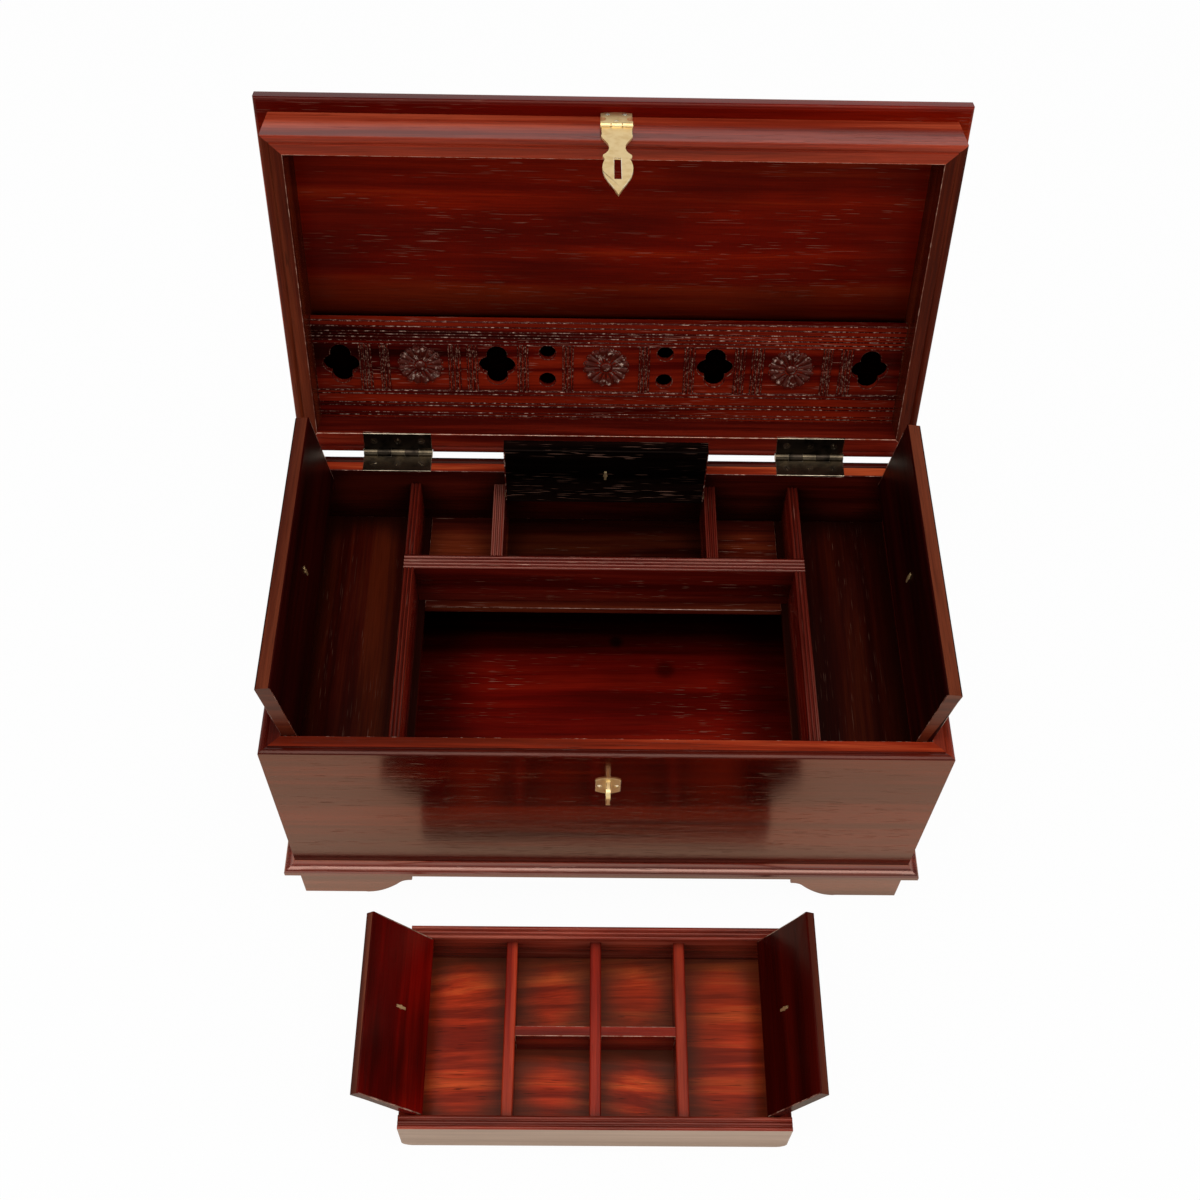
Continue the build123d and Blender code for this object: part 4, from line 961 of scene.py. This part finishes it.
for flap_name in ("left_flap", "right_flap", "centre_flap", "tray_left_flap", "tray_right_flap"):
    planed(flap_name + "_pull", flap_name, satin_brass, ease=0.0002, shortest=FITTING_EDGE)


# ---- Tray ----
# A shallow box of thin boards, glued at the corners, the long ones reeded along their tops. Its floor of
# two boards is a lighter orange-red, and its front is dull, with a pale painted reflection of the floor.

TRAY_RED = ((0.150, 0.0050, 0.0018), (0.310, 0.0140, 0.0046), (0.450, 0.0400, 0.0130))
TRAY_TOP_RED = ((0.115, 0.0100, 0.0050), (0.270, 0.0300, 0.0150), (0.460, 0.1000, 0.0600))
TRAY_ORANGE = ((0.300, 0.0140, 0.0028), (0.720, 0.0500, 0.0090), (0.960, 0.1400, 0.0260))
PAINTED_REFLECTION_BROWN = ((0.190, 0.1020, 0.0720), (0.270, 0.1600, 0.1180), (0.360, 0.2300, 0.1740))
FACE_REFLECTION_TINT = (1.0, 0.85, 0.75)
OLIVE_STAIN_AND_SHADE = (0.060, 0.0200, 0.0090)
tray_top_wood = timber(
    "tray_top_hardwood",
    "x",
    TRAY_TOP_RED,
    DARK_PORE,
    pores=0.4,
    shine=0.6,
    offset=(0.6, 0.25, 0.1),
    corners=0.3,
)
# The front's pale grey-brown base is a painted reflection of the white floor; its lacquer adds a real one.
tray_face_wood = timber(
    "tray_face_hardwood",
    "x",
    PAINTED_REFLECTION_BROWN,
    DARK_PORE,
    pores=0.2,
    shine=1.0,
    roughness=0.3,
    offset=(0.8, 0.15, 0.6),
    tint=FACE_REFLECTION_TINT,
    lacquer_ior=1.8,
)
tray_end_wood = timber(
    "tray_end_hardwood", "y", RED_BROWN, DARK_PORE, pores=0.4, shine=0.6, offset=(0.1, 0.5, 0.6)
)
# Near its boards the tray floor darkens in olive: painted shade, in the same olive as its stain clouds.
tray_floor_wood = timber(
    "tray_floor_hardwood",
    "x",
    TRAY_ORANGE,
    DARK_PORE,
    pores=1.0,
    shine=0.15,
    offset=(0.41, 0.63, 0.05),
    waviness=0.05,
    scale=1.3,
    streaks=0.6,
    smoke=0.45,
    corners=0.8,
    stain_and_shade_colour=OLIVE_STAIN_AND_SHADE,
)
tray_divider_wood = timber(
    "tray_divider_hardwood",
    "y",
    TRAY_RED,
    DARK_PORE,
    pores=0.3,
    offset=(0.21, 0.43, 0.65),
    smoke=0.3,
    corners=0.7,
)
tray_cross_wood = timber(
    "tray_cross_hardwood",
    "x",
    TRAY_RED,
    DARK_PORE,
    pores=0.3,
    offset=(0.51, 0.23, 0.15),
    smoke=0.2,
    corners=0.3,
)
planed("tray_front", "tray", tray_top_wood, highlight_and_wear=cross_reed_highlight_wood, front=tray_face_wood)
planed("tray_back", "tray", tray_top_wood, highlight_and_wear=cross_reed_highlight_wood)
for board_name in ("tray_left_end", "tray_right_end"):
    planed(board_name, "tray", tray_end_wood, highlight_and_wear=dark_arris)
planed("tray_floor", "tray", tray_floor_wood, ease=0.0003)
planed("tray_dividers", "tray", tray_divider_wood, highlight_and_wear=pale_arris)
planed("tray_cross_dividers", "tray", tray_cross_wood, highlight_and_wear=pale_arris)


# ---- Tray flaps ----
# Two boards like those over the tills, turning on pins in the tray's long boards. The left one is stained
# a deep red, and the right one nearly black.

DEEP_TRAY_RED = ((0.105, 0.0012, 0.0006), (0.215, 0.0028, 0.0010), (0.390, 0.0110, 0.0026))
DARK_TRAY_RED = ((0.018, 0.0005, 0.0003), (0.033, 0.0010, 0.0004), (0.058, 0.0022, 0.0008))
for hand, shades, offset, smoke in (
    ("left", DEEP_TRAY_RED, (0.71, 0.13, 0.55), 0.8),
    ("right", DARK_TRAY_RED, (0.31, 0.53, 0.25), 0.6),
):
    flap_name = "tray_" + hand + "_flap"
    tray_flap_wood = timber(
        flap_name + "_hardwood",
        "y",
        shades,
        DARK_PORE,
        pores=0.4,
        shine=0.1,
        offset=offset,
        scale=0.5,
        streaks=0.2,
        smoke=smoke,
    )
    planed(
        flap_name,
        flap_name,
        tray_flap_wood,
        ease=0.0008,
        highlight_and_wear=dark_arris,
        top=flap_edge,
        front=flap_end,
    )


# ---- Studio ----
# A white floor in a room that is pale at the sides and dim overhead, with one wide soft light above the
# box and a weaker one on each side. Polished wood and brass mirror the floor as a dim beige.

WHITE = (1.0, 1.0, 1.0)
FLOOR_GREY = (0.8, 0.8, 0.8)
MIRRORED_BEIGE = (1.0, 0.78, 0.54)
SEEN_GLOW = 0.97
MIRRORED_GLOW = 0.55
FLOOR_REACH = 6.0
bm = bmesh.new()
bmesh.ops.create_grid(bm, x_segments=1, y_segments=1, size=FLOOR_REACH)
floor = new_piece(bm, "studio_floor")
floor_paint, tree, surface = new_finish("studio_white")
feed(tree, surface.inputs["Base Color"], FLOOR_GREY)
feed(tree, surface.inputs["Roughness"], 0.9)
ray = add_node(tree, "ShaderNodeLightPath", (-800, 300))
looked_at = reckon(tree, "MULTIPLY", (-500, 400), ray.outputs["Is Camera Ray"], SEEN_GLOW)
mirrored = reckon(tree, "MULTIPLY", (-500, 200), ray.outputs["Is Glossy Ray"], MIRRORED_GLOW)
glow = add_node(tree, "ShaderNodeEmission", (-200, 0))
glow_shade = laid_over(tree, MIRRORED_BEIGE, WHITE, ray.outputs["Is Camera Ray"], (-500, 0))
feed(tree, glow.inputs["Color"], glow_shade)
blend = add_node(tree, "ShaderNodeMixShader", (300, 200))
feed(tree, blend.inputs[0], reckon(tree, "MAXIMUM", (-200, 300), looked_at, mirrored))
feed(tree, blend.inputs[1], surface.outputs[0])
feed(tree, blend.inputs[2], glow.outputs[0])
feed(tree, tree.nodes["Material Output"].inputs["Surface"], blend.outputs[0])
finish_with(floor, floor_paint)

ROOM_GREYS = ((0.0, 0.9), (0.45, 0.75), (0.72, 0.12), (1.0, 0.10))
room = bpy.data.worlds.new("studio_room")
bpy.context.scene.world = room
room.use_nodes = True
tree = room.node_tree
direction = add_node(tree, "ShaderNodeTexCoord", (-1000, 0))
split = add_node(tree, "ShaderNodeSeparateXYZ", (-800, 0))
feed(tree, split.inputs[0], direction.outputs["Generated"])
band = ramp(tree, split.outputs["Z"], ROOM_GREYS, (-600, 0))
ray = add_node(tree, "ShaderNodeLightPath", (-600, 300))
room_shade = laid_over(tree, band, WHITE, ray.outputs["Is Camera Ray"], (-250, 100))
feed(tree, tree.nodes["Background"].inputs["Color"], room_shade)

LAMPS = (
    ("overhead_softbox", (0.0, -0.25, 2.3), (0.0, -0.05, 0.2), 1.7, 26.0),
    ("left_softbox", (-1.9, -0.5, 1.5), (0.0, 0.0, 0.2), 1.1, 9.0),
    ("right_softbox", (1.9, -0.5, 1.5), (0.0, 0.0, 0.2), 1.1, 9.0),
)
for lamp_name, position, target, size, power in LAMPS:
    lamp_data = bpy.data.lights.new(lamp_name, "AREA")
    lamp_data.shape = "SQUARE"
    lamp_data.size = size
    lamp_data.energy = power
    lamp = put_in_scene(lamp_name, lamp_data)
    lamp.location = position
    lamp.rotation_euler = (Vector(target) - Vector(position)).to_track_quat("-Z", "Y").to_euler()


# ---- Camera ----
# It stands in front of the box and looks steeply down into it, turned a little to one side and tilted.
# Its lens is shifted a little downwards.

CAMERA_PLACE = (-0.0208, -0.5478, 1.1177)
CAMERA_PITCH = math.radians(54.6057)
CAMERA_YAW = math.radians(-1.4264)
CAMERA_ROLL = math.radians(1.7987)
LENS_MM = 45.5085
SENSOR_MM = 36.0
LENS_SHIFT = -0.0474
camera_data = bpy.data.cameras.new("camera")
camera_data.lens = LENS_MM
camera_data.sensor_width = SENSOR_MM
camera_data.shift_y = LENS_SHIFT
camera = put_in_scene("camera", camera_data)
aimed = Matrix.Rotation(CAMERA_YAW, 4, "Z")
aimed = aimed @ Matrix.Rotation(QUARTER_TURN - CAMERA_PITCH, 4, "X")
aimed = aimed @ Matrix.Rotation(CAMERA_ROLL, 4, "Z")
camera.matrix_world = Matrix.Translation(CAMERA_PLACE) @ aimed
bpy.context.scene.camera = camera
bpy.context.scene.view_settings.view_transform = "Standard"
